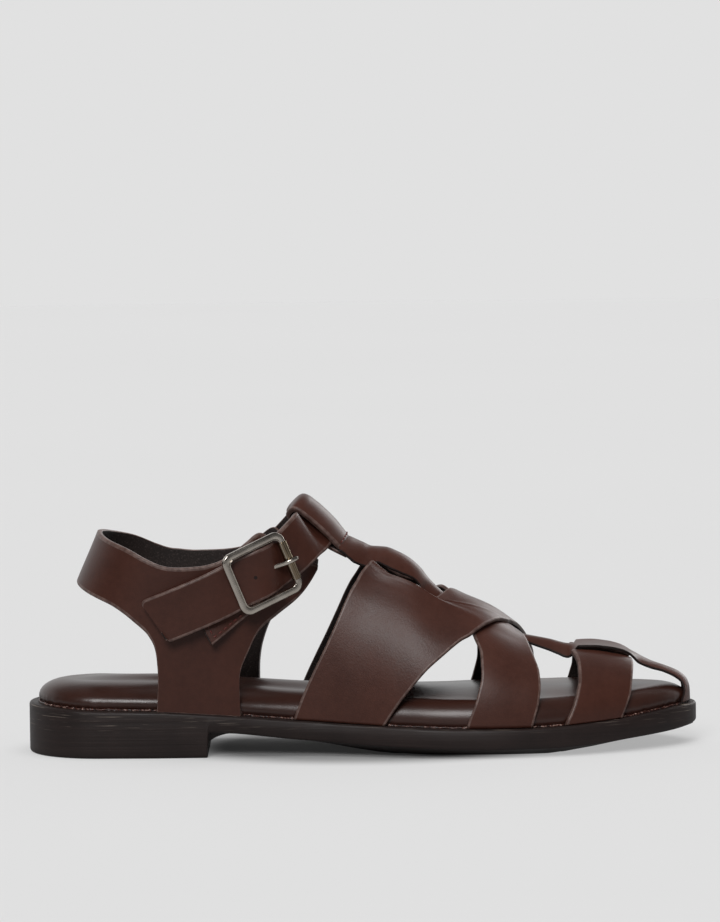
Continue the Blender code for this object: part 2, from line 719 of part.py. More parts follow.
tail_u = np.linspace(TAB["u"][0], TAB["u"][-1], 10)
tail = tab_points(tail_u, read(TAB, "n", tail_u, "u"), 4)
buckle_tab = add_sheet("buckle_tab", tail, parts, 2 * TAB_LEATHER, side=0)
turn = np.linspace(-0.5, 0.5, 9) * math.pi
eye_u = np.concatenate([EYE_HALF * np.cos(turn), [EYE_TAIL[0] + 1.0, EYE_TAIL[0], EYE_TAIL[0]]])
eye_n = np.concatenate([PIVOT_DEPTH + EYE_HALF * np.sin(turn),
                        [EYE_TAIL[1] + 0.7, EYE_TAIL[1] + 0.4, EYE_TAIL[1] - 0.4]])
eye = add_sheet("eye", tab_points(eye_u, eye_n, 4), parts, TAB_LEATHER, side=0, closed=True)
unite(buckle_tab, [eye])
prong_slot = add_block("prong_slot", (-3.4, 3.4), (-PRONG_SLOT / 2, PRONG_SLOT / 2), (-8, -1))
unite(buckle_tab, [prong_slot], "DIFFERENCE")
finish(buckle_tab, BROWN_LEATHER, 0.45)


# ---------------------------------------------------------------- buckle

def add_wire(name, path, radius, closed=False):
    """Bent wire: a curve with a round bevel, made a mesh with its caps welded."""
    curve = bpy.data.curves.new(name, "CURVE")
    curve.dimensions = "3D"
    curve.bevel_depth = radius * MM
    curve.bevel_resolution = 2
    curve.use_fill_caps = True
    spline = curve.splines.new("POLY")
    spline.points.add(len(path) - 1)
    for point, place in zip(spline.points, path):
        point.co = (*((place - MIDDLE) * MM), 1.0)
    spline.use_cyclic_u = closed
    wire = bpy.data.objects.new(name + "_wire", curve)
    parts.objects.link(wire)
    bpy.context.view_layer.update()
    mesh = bpy.data.meshes.new_from_object(wire.evaluated_get(bpy.context.evaluated_depsgraph_get()))
    bpy.data.objects.remove(wire)
    weld = bmesh.new()
    weld.from_mesh(mesh)
    bmesh.ops.remove_doubles(weld, verts=weld.verts, dist=1e-6)
    weld.to_mesh(mesh)
    weld.free()
    obj = bpy.data.objects.new(name, mesh)
    parts.objects.link(obj)
    return obj


def frame_path():
    """Rounded rectangle of the frame, in the buckle's own axes."""
    u, w = [], []
    for corner in range(4):
        arc = math.radians(90) * corner + np.linspace(0, math.pi / 2, 6)
        su = 1 if corner in (0, 3) else -1
        sw = 1 if corner in (0, 1) else -1
        u.append(su * (END_BARS - CORNER) + CORNER * np.cos(arc))
        w.append(sw * (SIDE_BARS - CORNER) + CORNER * np.sin(arc))
    return at_buckle(np.concatenate(u), np.concatenate(w), 0.0)


buckle_frame = add_wire("buckle_frame", frame_path(), BAR_HALF, closed=True)
bar_ends = at_buckle(0.0, np.array([-SIDE_BARS, SIDE_BARS]), PIVOT_DEPTH)
centre_bar = add_wire("centre_bar", bar_ends, PIVOT)
lugs = [add_block("lug", (-1.7, 1.7), (side * SIDE_BARS - 0.9, side * SIDE_BARS + 0.9),
                  (PIVOT_DEPTH - 1.4, 0.4)) for side in (-1, 1)]
unite(buckle_frame, [centre_bar, *lugs])
finish(buckle_frame, GUNMETAL, 0.25, 1.0)


def add_roller():
    """Sleeve on the frame's front bar: a turned profile of its wall."""
    half = ROLLER_LENGTH / 2
    profile = [(ROLLER_HALF, 0, half), (ROLLER_HALF, 0, -half),
               (ROLLER_BORE, 0, -half), (ROLLER_BORE, 0, half)]
    mesh = bpy.data.meshes.new("buckle_roller")
    edges = [(0, 1), (1, 2), (2, 3), (3, 0)]
    mesh.from_pydata([tuple(value * MM for value in point) for point in profile], edges, [])
    obj = bpy.data.objects.new("buckle_roller", mesh)
    parts.objects.link(obj)
    screw = obj.modifiers.new("turn", "SCREW")
    screw.steps = screw.render_steps = 24
    screw.use_merge_vertices = True
    screw.merge_threshold = 1e-6
    place = at_buckle(END_BARS, 0.0, 0.0) - MIDDLE
    axes = Matrix((U_AXIS, -N_AXIS, W_AXIS)).transposed().to_4x4()
    obj.matrix_world = Matrix.Translation(Vector(place * MM)) @ axes
    return obj


buckle_roller = add_roller()
finish(buckle_roller, GUNMETAL, 0.25, 1.0)

# Prong: a ring round the centre bar and a bent shank up through the strap's hole
# to rest on the roller.
PRONG = table("u     n",
              (-0.4, -2.70),
              (2.0,  -2.85),
              (4.0,  -2.70),
              (5.5,  -2.00),
              (7.5,  -0.40),
              (10.0, 1.50),
              (12.3, 2.80),
              (13.6, 3.05),
              (15.2, 2.70),
              (16.4, 1.90))
PRONG_RING = PIVOT + GAP + PRONG_HALF
round_bar = np.linspace(0, 2 * math.pi, 18, endpoint=False)
ring_path = at_buckle(PRONG_RING * np.sin(round_bar), 0 * round_bar,
                      PIVOT_DEPTH + PRONG_RING * np.cos(round_bar))
buckle_prong = add_wire("buckle_prong", ring_path, PRONG_HALF, closed=True)
shank_u = np.linspace(PRONG["u"][0], PRONG["u"][-1], 22)
shank = add_wire("shank", at_buckle(shank_u, 0 * shank_u, read(PRONG, "n", shank_u, "u")), PRONG_HALF)
unite(buckle_prong, [shank])
finish(buckle_prong, GUNMETAL, 0.25, 1.0)
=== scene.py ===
"""Looks of the fisherman sandal: a right shoe with a moulded sole, a padded
leather insole, woven leather straps, a heel quarter and an ankle strap with a
roller buckle.

Sizes are in millimetres: x from the rear of the heel to the toe, y towards the
medial side, z up from the floor. They are turned into metres as a mesh is made.
"""
import math
import bmesh
import bpy
import numpy as np
from mathutils import Matrix, Vector


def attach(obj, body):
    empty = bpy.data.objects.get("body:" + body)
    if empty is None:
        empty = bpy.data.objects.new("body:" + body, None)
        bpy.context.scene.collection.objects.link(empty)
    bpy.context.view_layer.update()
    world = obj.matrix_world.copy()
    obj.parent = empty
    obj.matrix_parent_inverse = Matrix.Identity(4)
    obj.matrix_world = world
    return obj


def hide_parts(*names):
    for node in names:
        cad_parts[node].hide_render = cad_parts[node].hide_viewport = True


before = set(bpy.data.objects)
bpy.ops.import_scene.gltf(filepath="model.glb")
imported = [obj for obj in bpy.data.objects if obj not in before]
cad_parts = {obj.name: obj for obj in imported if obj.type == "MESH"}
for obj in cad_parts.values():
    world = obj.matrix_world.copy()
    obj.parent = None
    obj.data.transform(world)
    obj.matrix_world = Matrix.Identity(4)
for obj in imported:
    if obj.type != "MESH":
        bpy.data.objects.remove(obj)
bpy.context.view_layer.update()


# ---------------------------------------------------------------- outsole
# A one-piece rubber unit: low heel, arched waist and a forefoot that swells down
# to the floor. It is moulded in layers, whose fine lines run round its wall, and
# its rims are rounded by the mould.

MM = 0.001
LENGTH = 290.0
MIDDLE = (LENGTH / 2, 2.3, 0.0)
HEEL_ROUND, TOE_ROUND, TOE_POWER = 34.0, 62.0, 2.1
TOE_SWING, SWING_START = 4.0, 200.0
BREAST = 78.0
FILLET, FILLET_RUN = 5.5, 14.0
RIM_ROUND = 1.3
WALL_ROWS, WALL_BULGE = 14, 0.35


def table(columns, *rows):
    """A table's columns by name, as arrays."""
    return dict(zip(columns.split(), np.array(rows, float).T))


def hermite(start, end, leave, arrive, u):
    """Cubic from start to end over u from 0 to 1 with the two slopes."""
    return (start * (1 + 2 * u) * (1 - u) ** 2 + leave * u * (1 - u) ** 2
            + end * u * u * (3 - 2 * u) + arrive * u * u * (u - 1))


def read(tab, names, at, key="x"):
    """Smooth reading of one or more columns: a cubic through the rows that never
    overshoots."""
    knots, values = tab[key], np.stack([tab[name] for name in names.split()])
    secant = np.diff(values) / np.diff(knots)
    product = secant[:, :-1] * secant[:, 1:]
    total = np.where(product > 0, secant[:, :-1] + secant[:, 1:], 1.0)
    inner = np.where(product > 0, 2 * product / total, 0.0)
    slope = np.concatenate([secant[:, :1], inner, secant[:, -1:]], 1)
    at = np.clip(np.asarray(at, float), knots[0], knots[-1])
    i = np.clip(np.searchsorted(knots, at, side="right") - 1, 0, len(knots) - 2)
    step = knots[i + 1] - knots[i]
    found = hermite(values[:, i], values[:, i + 1], step * slope[:, i], step * slope[:, i + 1],
                    (at - knots[i]) / step)
    return found if len(found) > 1 else found[0]


def smooth_step(value, start, end):
    """Rises from 0 at start to 1 at end, level at both."""
    u = np.clip((value - start) / (end - start), 0, 1)
    return u * u * (3 - 2 * u)


OUTLINE = table(
    "x lateral medial",
    (0, 34, 34), (33, 33, 33.5), (57, 34, 34.5), (80, 33.5, 33), (100, 32, 30),
    (119, 31.5, 28.5), (140, 35, 31.5), (160, 40, 37.5), (180, 44, 43), (200, 45.5, 48),
    (215, 44.5, 49.5), (230, 42, 49), (245, 39, 46), (290, 30, 32))
SOLE = table(
    "x top rim swell",
    (0, 21.8, 0, 0), (30, 20.5, 0, 0), (57, 20, 0, 0), (78, 18.7, 0, 0),
    (78.5, 18.65, 10.6, 0), (81, 18.5, 10.8, 0.2), (85, 18.2, 10.6, 0.5), (118, 15.3, 7, 1.5),
    (145, 13.7, 5, 5), (165, 12.9, 4.2, 7), (185, 12.4, 3.5, 7), (220, 12.4, 3.4, 6.5),
    (240, 13.4, 4, 4), (258, 14.7, 5.6, 2), (280, 17.3, 7.6, 1), (290, 18, 9.3, 1))


def swing(x):
    """Sideways offset of the foot's middle line: a smooth step towards the toe."""
    return TOE_SWING * smooth_step(x, SWING_START, LENGTH)


def half_width(x, side, inset=0.0):
    """Half width of the sole: the table's width times a round heel and a full toe."""
    heel = np.clip((HEEL_ROUND - x) / (HEEL_ROUND - inset), 0, 1)
    toe = np.clip((x - LENGTH + TOE_ROUND) / (TOE_ROUND - inset), 0, 1)
    ends = np.sqrt(1 - heel ** 2) * (1 - toe ** TOE_POWER) ** (1 / TOE_POWER)
    return (read(OUTLINE, side, x) - inset) * ends


def under_sole(x, v):
    """Underside height: the rim's height less a swell that fades towards the rim,
    and less a fillet in the corner at the heel's breast that stops short of it."""
    rim, swell = read(SOLE, "rim swell", x)
    corner = np.clip((BREAST + FILLET_RUN - x) / FILLET_RUN, 0, 1)
    fillet = FILLET * corner ** 2 * (1 - np.abs(v) ** 10)
    return np.maximum(rim - swell * (1 - np.abs(v) ** 2.5) - fillet, 0.0)


def make_mesh(name, points, quads, materials, slots=None, uv=None):
    """Object from millimetre points and quads; a quad whose last two corners meet
    is a triangle. Each quad may have its material's number, each point its uv."""
    mesh = bpy.data.meshes.new(name)
    faces = [quad[:3] if quad[2] == quad[3] else quad for quad in np.asarray(quads).tolist()]
    metres = (np.reshape(points, (-1, 3)) - MIDDLE) * MM
    mesh.from_pydata(metres.tolist(), [], faces)
    if uv is not None:
        corners = np.reshape(uv, (-1, 2))[np.concatenate(faces)]
        mesh.uv_layers.new(name="UVMap").data.foreach_set("uv", corners.ravel())
    for material in materials:
        mesh.materials.append(material)
    if slots is not None:
        mesh.polygons.foreach_set("material_index", slots)
    mesh.validate()
    mesh.shade_smooth()
    obj = bpy.data.objects.new(name, mesh)
    bpy.context.scene.collection.objects.link(obj)
    return obj


def grid_quads(rows, columns, around=False):
    """Quads of a grid of points, whose last column may join its first."""
    i, j = np.meshgrid(np.arange(rows - 1), np.arange(columns if around else columns - 1),
                       indexing="ij")
    k = (j + 1) % columns
    return np.stack([i * columns + j, (i + 1) * columns + j, (i + 1) * columns + k,
                     i * columns + k], -1).reshape(-1, 4)


def weld(obj, distance=1e-6):
    """Merges the points that lie on each other at a grid's poles."""
    work = bmesh.new()
    work.from_mesh(obj.data)
    bmesh.ops.remove_doubles(work, verts=work.verts, dist=distance)
    work.to_mesh(obj.data)
    work.free()
    return obj


def plate(name, section, stations, material):
    """Plate lofted over stations from heel to toe. The section is a list of
    (inset, share of the half width, height function, bulge), from the middle of
    the underside round one edge to the middle of the top; both sides are made. A
    bulge fades where the plate is less than 8 wide to a side."""
    lines = []
    for side, sign, course in (("medial", 1, section), ("lateral", -1, section[-2:0:-1])):
        for inset, share, height, bulge in course:
            x = inset + (LENGTH - 2 * inset) * stations
            half = half_width(x, side, inset)
            half = half + bulge * np.minimum(1, half / 8)
            z = height(x, np.full(len(x), sign * share))
            lines.append(np.stack([x, swing(x) + sign * share * half, z], -1))
    points = np.stack(lines, 1)
    quads = grid_quads(len(stations), len(lines), True)[:, ::-1]
    return weld(make_mesh(name, points, quads, [material], uv=points[:, :, ::2]))


def seat(obj, slot, *nodes):
    """The piece moves with the shoe's one body and may stand for CAD nodes."""
    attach(obj, "root")
    if nodes:
        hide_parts(*nodes)


def linear(colour):
    """Linear colour of an sRGB hex value: the inverse of the sRGB curve."""
    parts = np.array([int(colour[i:i + 2], 16) / 255 for i in (1, 3, 5)])
    curve = np.where(parts <= 0.04045, parts / 12.92, ((parts + 0.055) / 1.055) ** 2.4)
    return (*curve.tolist(), 1.0)


def connect(node, *values, **named):
    """Gives a node's sockets, in their order or by name, a value, another node's
    output or a node, whose first output is meant."""
    pairs = list(zip((socket for socket in node.inputs if socket.enabled), values))
    pairs += [(node.inputs[name.replace("_", " ")], value) for name, value in named.items()]
    for socket, value in pairs:
        if isinstance(value, bpy.types.Node):
            value = next(output for output in value.outputs if output.enabled)
        if isinstance(value, bpy.types.NodeSocket):
            node.id_data.links.new(value, socket)
        else:
            socket.default_value = value


def add(tree, kind, *values, stops=(), **named):
    """Adds a node: names in lower case are its settings, the others its sockets, and
    stops are the (place, colour) pairs of a colour ramp."""
    node = tree.nodes.new("ShaderNode" + kind)
    for name in [name for name in named if name.islower()]:
        setattr(node, name, named.pop(name))
    for number, (place, colour) in enumerate(stops):
        elements = node.color_ramp.elements
        stop = elements[number] if number < 2 else elements.new(place)
        stop.position, stop.color = place, linear(colour)
    connect(node, *values, **named)
    return node


def new_material(name, **values):
    """Material with a Principled shader; returns it, its node tree, the shader and
    the object's own coordinates."""
    material = bpy.data.materials.new(name)
    material.use_nodes = True
    tree = material.node_tree
    shader = tree.nodes["Principled BSDF"]
    connect(shader, **values)
    return material, tree, shader, add(tree, "TexCoord").outputs["Object"]


def dress(tree, shader, colour, rough=None, bumps=()):
    """Wires a shader: its colour, its roughness as (a tone, lowest, highest), and
    bumps of (height, strength, distance), each laid over the one before."""
    connect(shader, Base_Color=colour)
    if rough:
        connect(shader, Roughness=add(tree, "MapRange", rough[0], From_Min=0.3, From_Max=0.7,
                                      To_Min=rough[1], To_Max=rough[2]))
    under = {}
    for height, strength, distance in bumps:
        under = {"Normal": add(tree, "Bump", Height=height, Strength=strength,
                               Distance=distance, **under)}
    connect(shader, **under)


# Moulded thermoplastic rubber: matt black-brown with a slight sheen; the layers show as fine
# level lines, and the upper part of the wall is streaked lighter here and there.
LAYER_MM = 1.1
sole_rubber, tree, shader, place = new_material("moulded_sole_rubber", IOR=1.36)
flat = add(tree, "Mapping", place, Scale=(6.0, 6.0, 1 / (LAYER_MM * MM) / 2))
layers = add(tree, "TexNoise", flat, Scale=1.0, Detail=3.0, Roughness=0.6)
cloud = add(tree, "TexNoise", place, Scale=60.0, Detail=4.0)
pebble = add(tree, "TexNoise", place, Scale=1400.0)
both = add(tree, "Mix", 0.5, layers, cloud)
body = add(tree, "ValToRGB", both, stops=[(0.35, "#1b1413"), (0.65, "#281e1c")])
level_stretch = add(tree, "Mapping", place, Scale=(60.0, 60.0, 2400.0))
streak_noise = add(tree, "TexNoise", level_stretch, Scale=1.0)
streak = add(tree, "MapRange", streak_noise, From_Min=0.64, From_Max=0.72, To_Max=0.55)
height = add(tree, "SeparateXYZ", place).outputs["Z"]
upper = add(tree, "MapRange", height, From_Min=0.010, From_Max=0.015)
amount = add(tree, "Math", upper, streak, operation="MULTIPLY")
streaked_upper_wall = add(tree, "Mix", amount, body, linear("#84796f"), data_type="RGBA")
dress(tree, shader, streaked_upper_wall, (cloud, 0.42, 0.56), [(pebble, 0.15, 0.0002), (layers, 0.5, 0.0004)])


def sole_height(share, lift=0.0):
    """Height at a share of the way from the underside to the top, and a lift."""
    return lambda x, v: (under_sole(x, v) * (1 - share) + read(SOLE, "top", x) * share + lift)


def level_part(inset, height, start, end, count):
    """Part of a plate's section that runs across it between two shares."""
    return [(inset, share, height, 0.0) for share in np.linspace(start, end, count)]


rim_turns = np.linspace(0, math.pi / 2, 5)
sole_section = level_part(RIM_ROUND, sole_height(0.0), 0, 1, 12)
sole_section += [(RIM_ROUND * (1 - math.sin(turn)), 1.0,
                  sole_height(0.0, RIM_ROUND * (1 - math.cos(turn))), 0.0)
                 for turn in rim_turns[1:]]
sole_section += [(0.0, 1.0, sole_height(share, RIM_ROUND * (1 - 2 * share)),
                  WALL_BULGE * math.sin(math.pi * share))
                 for share in np.linspace(0, 1, WALL_ROWS)[1:-1]]
sole_section += [(RIM_ROUND * (1 - math.cos(turn)), 1.0,
                  sole_height(1.0, RIM_ROUND * (math.sin(turn) - 1)), 0.0)
                 for turn in rim_turns[:-1]]
sole_section += level_part(RIM_ROUND, sole_height(1.0), 1, 0, 6)
# Stations crowd at the heel and the toe, and the sole's also at the heel's breast.
even = (1 - np.cos(np.linspace(0, math.pi, 220))) / 2
breast = np.linspace(BREAST - 1, BREAST + 9, 24) / LENGTH
sole_stations = np.sort(np.concatenate([even[np.abs(even - breast.mean()) > 0.02], breast]))
seat(plate("sole_unit", sole_section, sole_stations, sole_rubber), "sole", "outsole")


# ---------------------------------------------------------------- insole
# The footbed: foam on a board, wrapped in thin polished leather that is pulled
# over its rounded edge and glued underneath, where it puckers round the heel and
# the toe. Its top is softly crowned.

GAP = 0.3
INSOLE_INSET = 4.3
# The height at which the wrapped side stands out most, and how far it tucks in.
BULGE, TUCK = 2.6, 1.4
INSOLE = table(
    "x edge crown",
    (0, 10, 0), (17, 10.2, 0), (32, 10.6, 0.9), (50, 10.6, 1.6), (80, 10.8, 2),
    (120, 11.2, 2.2), (160, 11.4, 2), (220, 11.4, 2), (250, 10.4, 1), (274, 9, 0),
    (290, 7.6, 0))
SHOULDER = table(
    "x width",
    (0, 14), (30, 18), (60, 19), (110, 13), (150, 9), (200, 7.5), (240, 8), (290, 11))


def insole_side(turn):
    """Height on the wrapped side: a quarter round up to the bulge for turns below
    zero, then a wider one over the shoulder up to the padding's edge."""
    def height(x, v):
        """Height at stations x, the same all over the share v."""
        reach = read(INSOLE, "edge", x) - BULGE if turn > 0 else BULGE
        return read(SOLE, "top", x) + GAP + BULGE + reach * math.sin(turn) + 0 * v
    return height


def insole_top(x, v):
    """The padding's top: its edge plus a crown that fades towards it."""
    edge, crown = read(INSOLE, "edge crown", x)
    return read(SOLE, "top", x) + GAP + edge + crown * (1 - v * v) ** 2


def unit(vectors):
    """Vectors scaled to a length of one."""
    return vectors / np.maximum(np.linalg.norm(vectors, axis=-1), 1e-9)[..., None]


# Wrapped footbed leather: thin, polished and dark, so it mirrors the light in
# soft streaks; its grain is nearly closed and its tone drifts where it was burnished.
insole_leather, tree, shader, place = new_material("polished_footbed_leather", IOR=1.5)
drift = add(tree, "TexNoise", place, Scale=28.0, Detail=5.0, Roughness=0.55)
pores = add(tree, "TexVoronoi", place, Scale=1100.0)
waves = add(tree, "TexNoise", place, Scale=120.0)
tone = add(tree, "ValToRGB", drift, stops=[(0.3, "#28150f"), (0.7, "#3a2019")])
dress(tree, shader, tone, (drift, 0.27, 0.35), [(pores, 0.08, 0.0002), (waves, 0.12, 0.0006)])

# The wrapped side is a quarter round below the bulge and a wide shoulder above it.
shoulder = read(SHOULDER, "width", LENGTH * even)
insole_section = level_part(INSOLE_INSET + TUCK, insole_side(-math.pi / 2), 0, 1, 5)
insole_section += [(INSOLE_INSET + (TUCK if turn < 0 else shoulder) * (1 - math.cos(turn)), 1.0,
                    insole_side(turn), 0.0) for turn in np.linspace(-0.5, 0.5, 20)[1:] * math.pi]
insole_section += level_part(INSOLE_INSET + shoulder, insole_top, 1, 0, 20)[1:]
insole = plate("footbed", insole_section, even, insole_leather)


def pucker(mesh, depth=0.22, heel=34.0, toe=250.0):
    """Moves the foot of the wrapped side out and in round the heel and the toe, by
    two sines of the angle about the middle of each, fading upwards and inwards."""
    co = np.empty(len(mesh.vertices) * 3, np.float32)
    mesh.vertices.foreach_get("co", co)
    co = co.reshape(-1, 3) / MM + MIDDLE
    x, y, z = co.T
    rise = z - read(SOLE, "top", x)
    spoke = np.stack([x - np.where(x < LENGTH / 2, heel, toe), y - swing(x)], -1)
    angle = np.arctan2(spoke[:, 1], spoke[:, 0])
    low = np.clip(1 - (rise - 0.6) / 3.6, 0, 1) * (rise > 0.5)
    ends = np.clip((55 - x) / 25, 0, 1) + np.clip((x - 235) / 25, 0, 1)
    pleat = np.sin(angle * 46 + 2.2 * np.sin(angle * 9)) + 0.6 * np.sin(angle * 77 + 1.3)
    co[:, :2] += unit(spoke) * (depth * low * ends * pleat)[:, None]
    mesh.vertices.foreach_set("co", ((co - MIDDLE) * MM).astype(np.float32).ravel())


pucker(insole.data)
seat(insole, "insole_leather", "insole")

# Gathered margin: the edge of the wrapping leather, creased and wet with glue: a dark red-brown
# line full of tiny bright spots, which are painted glints of the wet glue.
gathered_leather, tree, shader, place = new_material("glued_leather_margin", Roughness=0.3,
                                                     IOR=1.5)
crumbs_and_glints = add(tree, "TexNoise", place, Scale=900.0, Detail=3.0)
# The lightest stop is painted glint on the glue; the darker ones are the creased leather's own
# tone.
tone = add(tree, "ValToRGB", crumbs_and_glints, stops=[(0.42, "#1c0d0a"), (0.56, "#4a271f"),
                                            (0.68, "#a58c82")])
dress(tree, shader, tone, bumps=[(crumbs_and_glints, 0.9, 0.0006)])

MARGIN_RISE, MARGIN_REACH = 0.95, 0.45


def margin_height(rise):
    """Height above the sole's top, wavering by a few tenths along the margin."""
    def height(x, v):
        """Height at stations x, the same all over the share v."""
        waver = 0.12 * np.sin(x * 1.9) + 0.1 * np.sin(x * 4.3 + 1.0)
        return read(SOLE, "top", x) - 0.2 + rise * (MARGIN_RISE + waver) + 0 * v
    return height


margin_section = level_part(INSOLE_INSET + 0.3, margin_height(0.0), 0, 1, 4)
margin_section += [(INSOLE_INSET + 0.1 - MARGIN_REACH * math.sin(turn), 1.0,
                    margin_height(0.5 - 0.5 * math.cos(turn)), 0.0)
                   for turn in np.linspace(0, math.pi, 8)[1:]]
margin_section += level_part(INSOLE_INSET + 0.3, margin_height(1.0), 1, 0, 4)
seat(plate("insole_margin", margin_section, even, gathered_leather), "insole_leather")


# ---------------------------------------------------------------- crossed bands
# Two mirrored saddle bands of vegetable-tanned cowhide, lined and edge-painted.
# Each starts wide at the sole, is slit where the T-bar passes, crosses the ridge
# and ends further forward; the one from the lateral side lies on top. Both are
# lasted under the insole and glued down.

STRAP_INSET = 3.7
WALL = 2.2
LAST = table(
    "x ridge fullness",
    (100, 118, 2), (118, 101, 2), (135, 92, 2), (150, 81.5, 2.05), (165, 75, 2.1),
    (180, 64.5, 2.15), (200, 54.5, 2.25), (215, 46.5, 2.35), (235, 41, 2.4), (245, 40, 2.4),
    (255, 37.8, 2.4), (262, 35.4, 2.4), (275, 29, 2.4), (287, 18, 2.4))


def on_last(x, girth, lift=0.0):
    """Point of the last: a superellipse from the lateral feather (girth -1) over the
    ridge (0) to the medial feather (+1), held off by the lift."""
    x, girth = np.broadcast_arrays(np.asarray(x, float), np.asarray(girth, float))
    lateral, medial = (half_width(x, side, STRAP_INSET) for side in ("lateral", "medial"))
    half = np.where(girth < 0, lateral, medial) + lift
    foot = read(SOLE, "top", x) + GAP
    ridge, fullness = read(LAST, "ridge fullness", x)
    turn = np.clip(np.abs(girth), 0, 1) * math.pi / 2
    y = swing(x) + np.sign(girth) * half * np.sin(turn) ** (2 / fullness)
    z = foot + (ridge + lift - foot) * np.cos(turn) ** (2 / fullness)
    return np.stack([x, y, z], -1)


def lengths(points):
    """Length along a polyline from its start to each of its points."""
    return np.append(0, np.cumsum(np.linalg.norm(np.diff(points, axis=0), axis=1)))


def strap(name, surface, rows, across, materials=None, side=1, wall=WALL, edge=0.8, back=0.35,
          paint=0.45, normal=None):
    """Cut strap. Its outer face is surface(u, v), with u from 0 to 1 along it and v
    from -1 to 1 across; the section runs over that face, round an edge of the
    given radius, back along the lining at the wall's depth, and round the other
    edge. The wall lies against the face's normal. The edge's paint laps onto the
    face. Materials are those of face, edge and lining."""
    u = (np.linspace(0, 1, rows) if np.isscalar(rows) else rows)[:, None]
    spread = surface(u, np.linspace(-1, 1, 13)[None, :])
    half = np.linalg.norm(np.diff(spread, axis=1), axis=2).sum(1)[:, None] / 2
    corner = [(1 - math.sin(a), 1 - math.cos(a)) for a in np.linspace(math.pi / 2, 0, 5)]
    rim = [(0.0, wall / 2), *((edge * reach, edge * depth) for reach, depth in corner),
           (edge + paint, 0.0)]
    hem = [(0.0, wall / 2), *((back * reach, wall - back * depth) for reach, depth in corner)]
    middle = np.linspace(-1, 1, across + 1)[1:-1]

    def chain(corner, radius, level):
        """Places across and depths from one edge over a face to the other."""
        reach, depth = np.array(corner).T
        left = -(1 - reach[None, :] / half)
        inner = middle[None, :] * (1 - radius / half)
        places = np.concatenate([left, inner, -left[:, ::-1]], 1)
        depths = np.concatenate([depth, np.full(len(middle), level), depth[::-1]])
        return places, np.broadcast_to(depths, places.shape)

    outer_v, outer_d = chain(rim, edge + paint, 0.0)
    inner_v, inner_d = chain(hem, back, wall)
    v = np.concatenate([outer_v, inner_v[:, -2:0:-1]], 1)
    depth = np.concatenate([outer_d, inner_d[:, -2:0:-1]], 1)
    step = 1e-3
    face = surface(u, v)
    if normal is None:
        ahead = surface(np.minimum(u + step, 1), v) - surface(np.maximum(u - step, 0), v)
        aside = surface(u, v + step) - surface(u, v - step)
        out = side * unit(np.cross(ahead, aside))
    else:
        out = normal(u, v)
    points = face - out * depth[..., None]
    count, columns = outer_v.shape[1], points.shape[1]
    quads = grid_quads(len(u), columns, True)
    rim_quads, hem_quads = len(rim) - 1, len(hem) - 1
    ring = np.repeat([1, 0, 1, 2, 1],
                     [rim_quads, across, rim_quads + hem_quads, across, hem_quads])
    j = np.arange(count - 1)
    below = np.where(j == count - 2, count - 1, columns - j - 1)
    first = np.stack([j, j + 1, below, (columns - j) % columns], -1)
    caps = []
    for quad in np.concatenate([first, first[:, ::-1] + (len(u) - 1) * columns]).tolist():
        slim = list(dict.fromkeys(quad))
        caps.append(slim + [slim[-1]] * (4 - len(slim)))
    if side < 0:
        quads = quads[:, ::-1]
        caps = [quad[::-1] if quad[2] != quad[3] else [quad[1], quad[0], quad[2], quad[2]]
                for quad in caps]
    slots = np.concatenate([np.tile(ring, len(u) - 1), np.ones(len(caps), int)])
    uv = np.stack(np.broadcast_arrays(lengths(spread[:, 6])[:, None], v * half), -1)
    return make_mesh(name, points, np.concatenate([quads, caps]), materials or LEATHERS,
                     slots, uv)


# Vegetable-tanned cowhide, glazed: dark red-brown with nearly closed pores and a
# soft half gloss that spreads the light; its tone drifts and it is a little worn.
def hide_leather(name, dark, light, low, high):
    """Glazed cowhide between two tones and two roughnesses, with fine pores."""
    material, tree, shader, place = new_material(name, IOR=1.35)
    drift = add(tree, "TexNoise", place, Scale=35.0, Detail=6.0, Roughness=0.6)
    fibre = add(tree, "TexNoise", place, Scale=420.0, Detail=3.0)
    swell = add(tree, "TexNoise", place, Scale=90.0)
    pores = add(tree, "TexVoronoi", place, Scale=1250.0)
    creases = add(tree, "TexVoronoi", place, Scale=420.0, feature="DISTANCE_TO_EDGE")
    both = add(tree, "Mix", 0.25, drift, fibre)
    tone = add(tree, "ValToRGB", both, stops=[(0.32, dark), (0.68, light)])
    dress(tree, shader, tone, (both, low, high),
          [(pores, 0.12, 0.0002), (creases, 0.06, 0.0003), (swell, 0.10, 0.0008)])
    return material


strap_leather = hide_leather("glazed_cowhide", "#3a2019", "#4a2a21", 0.34, 0.43)

# Edge paint: a thicker, lighter brown lacquer on the cut edge, slightly uneven.
edge_paint, tree, shader, place = new_material("painted_leather_edge", IOR=1.5, Roughness=0.42)
beads = add(tree, "TexNoise", place, Scale=500.0)
tone = add(tree, "ValToRGB", beads, stops=[(0.35, "#4a342e"), (0.65, "#665049")])
dress(tree, shader, tone, bumps=[(beads, 0.2, 0.0002)])

# Lining: thin unglazed pigskin, dark brown and matt, pored in dots, with paler tufts.
lining, tree, shader, place = new_material("pigskin_lining", IOR=1.45, Roughness=0.72)
dots = add(tree, "TexVoronoi", place, Scale=900.0)
nap = add(tree, "TexNoise", place, Scale=70.0, Detail=5.0)
skin = add(tree, "ValToRGB", nap, stops=[(0.3, "#18100e"), (0.7, "#241a17")])
tufts = add(tree, "TexNoise", place, Scale=1500.0)
fleck = add(tree, "MapRange", tufts, From_Min=0.56, From_Max=0.66, To_Max=0.22)
flecked = add(tree, "Mix", fleck, skin, linear("#645652"), data_type="RGBA")
dress(tree, shader, flecked, bumps=[(dots, 0.4, 0.0003)])
LEATHERS = [strap_leather, edge_paint, lining]

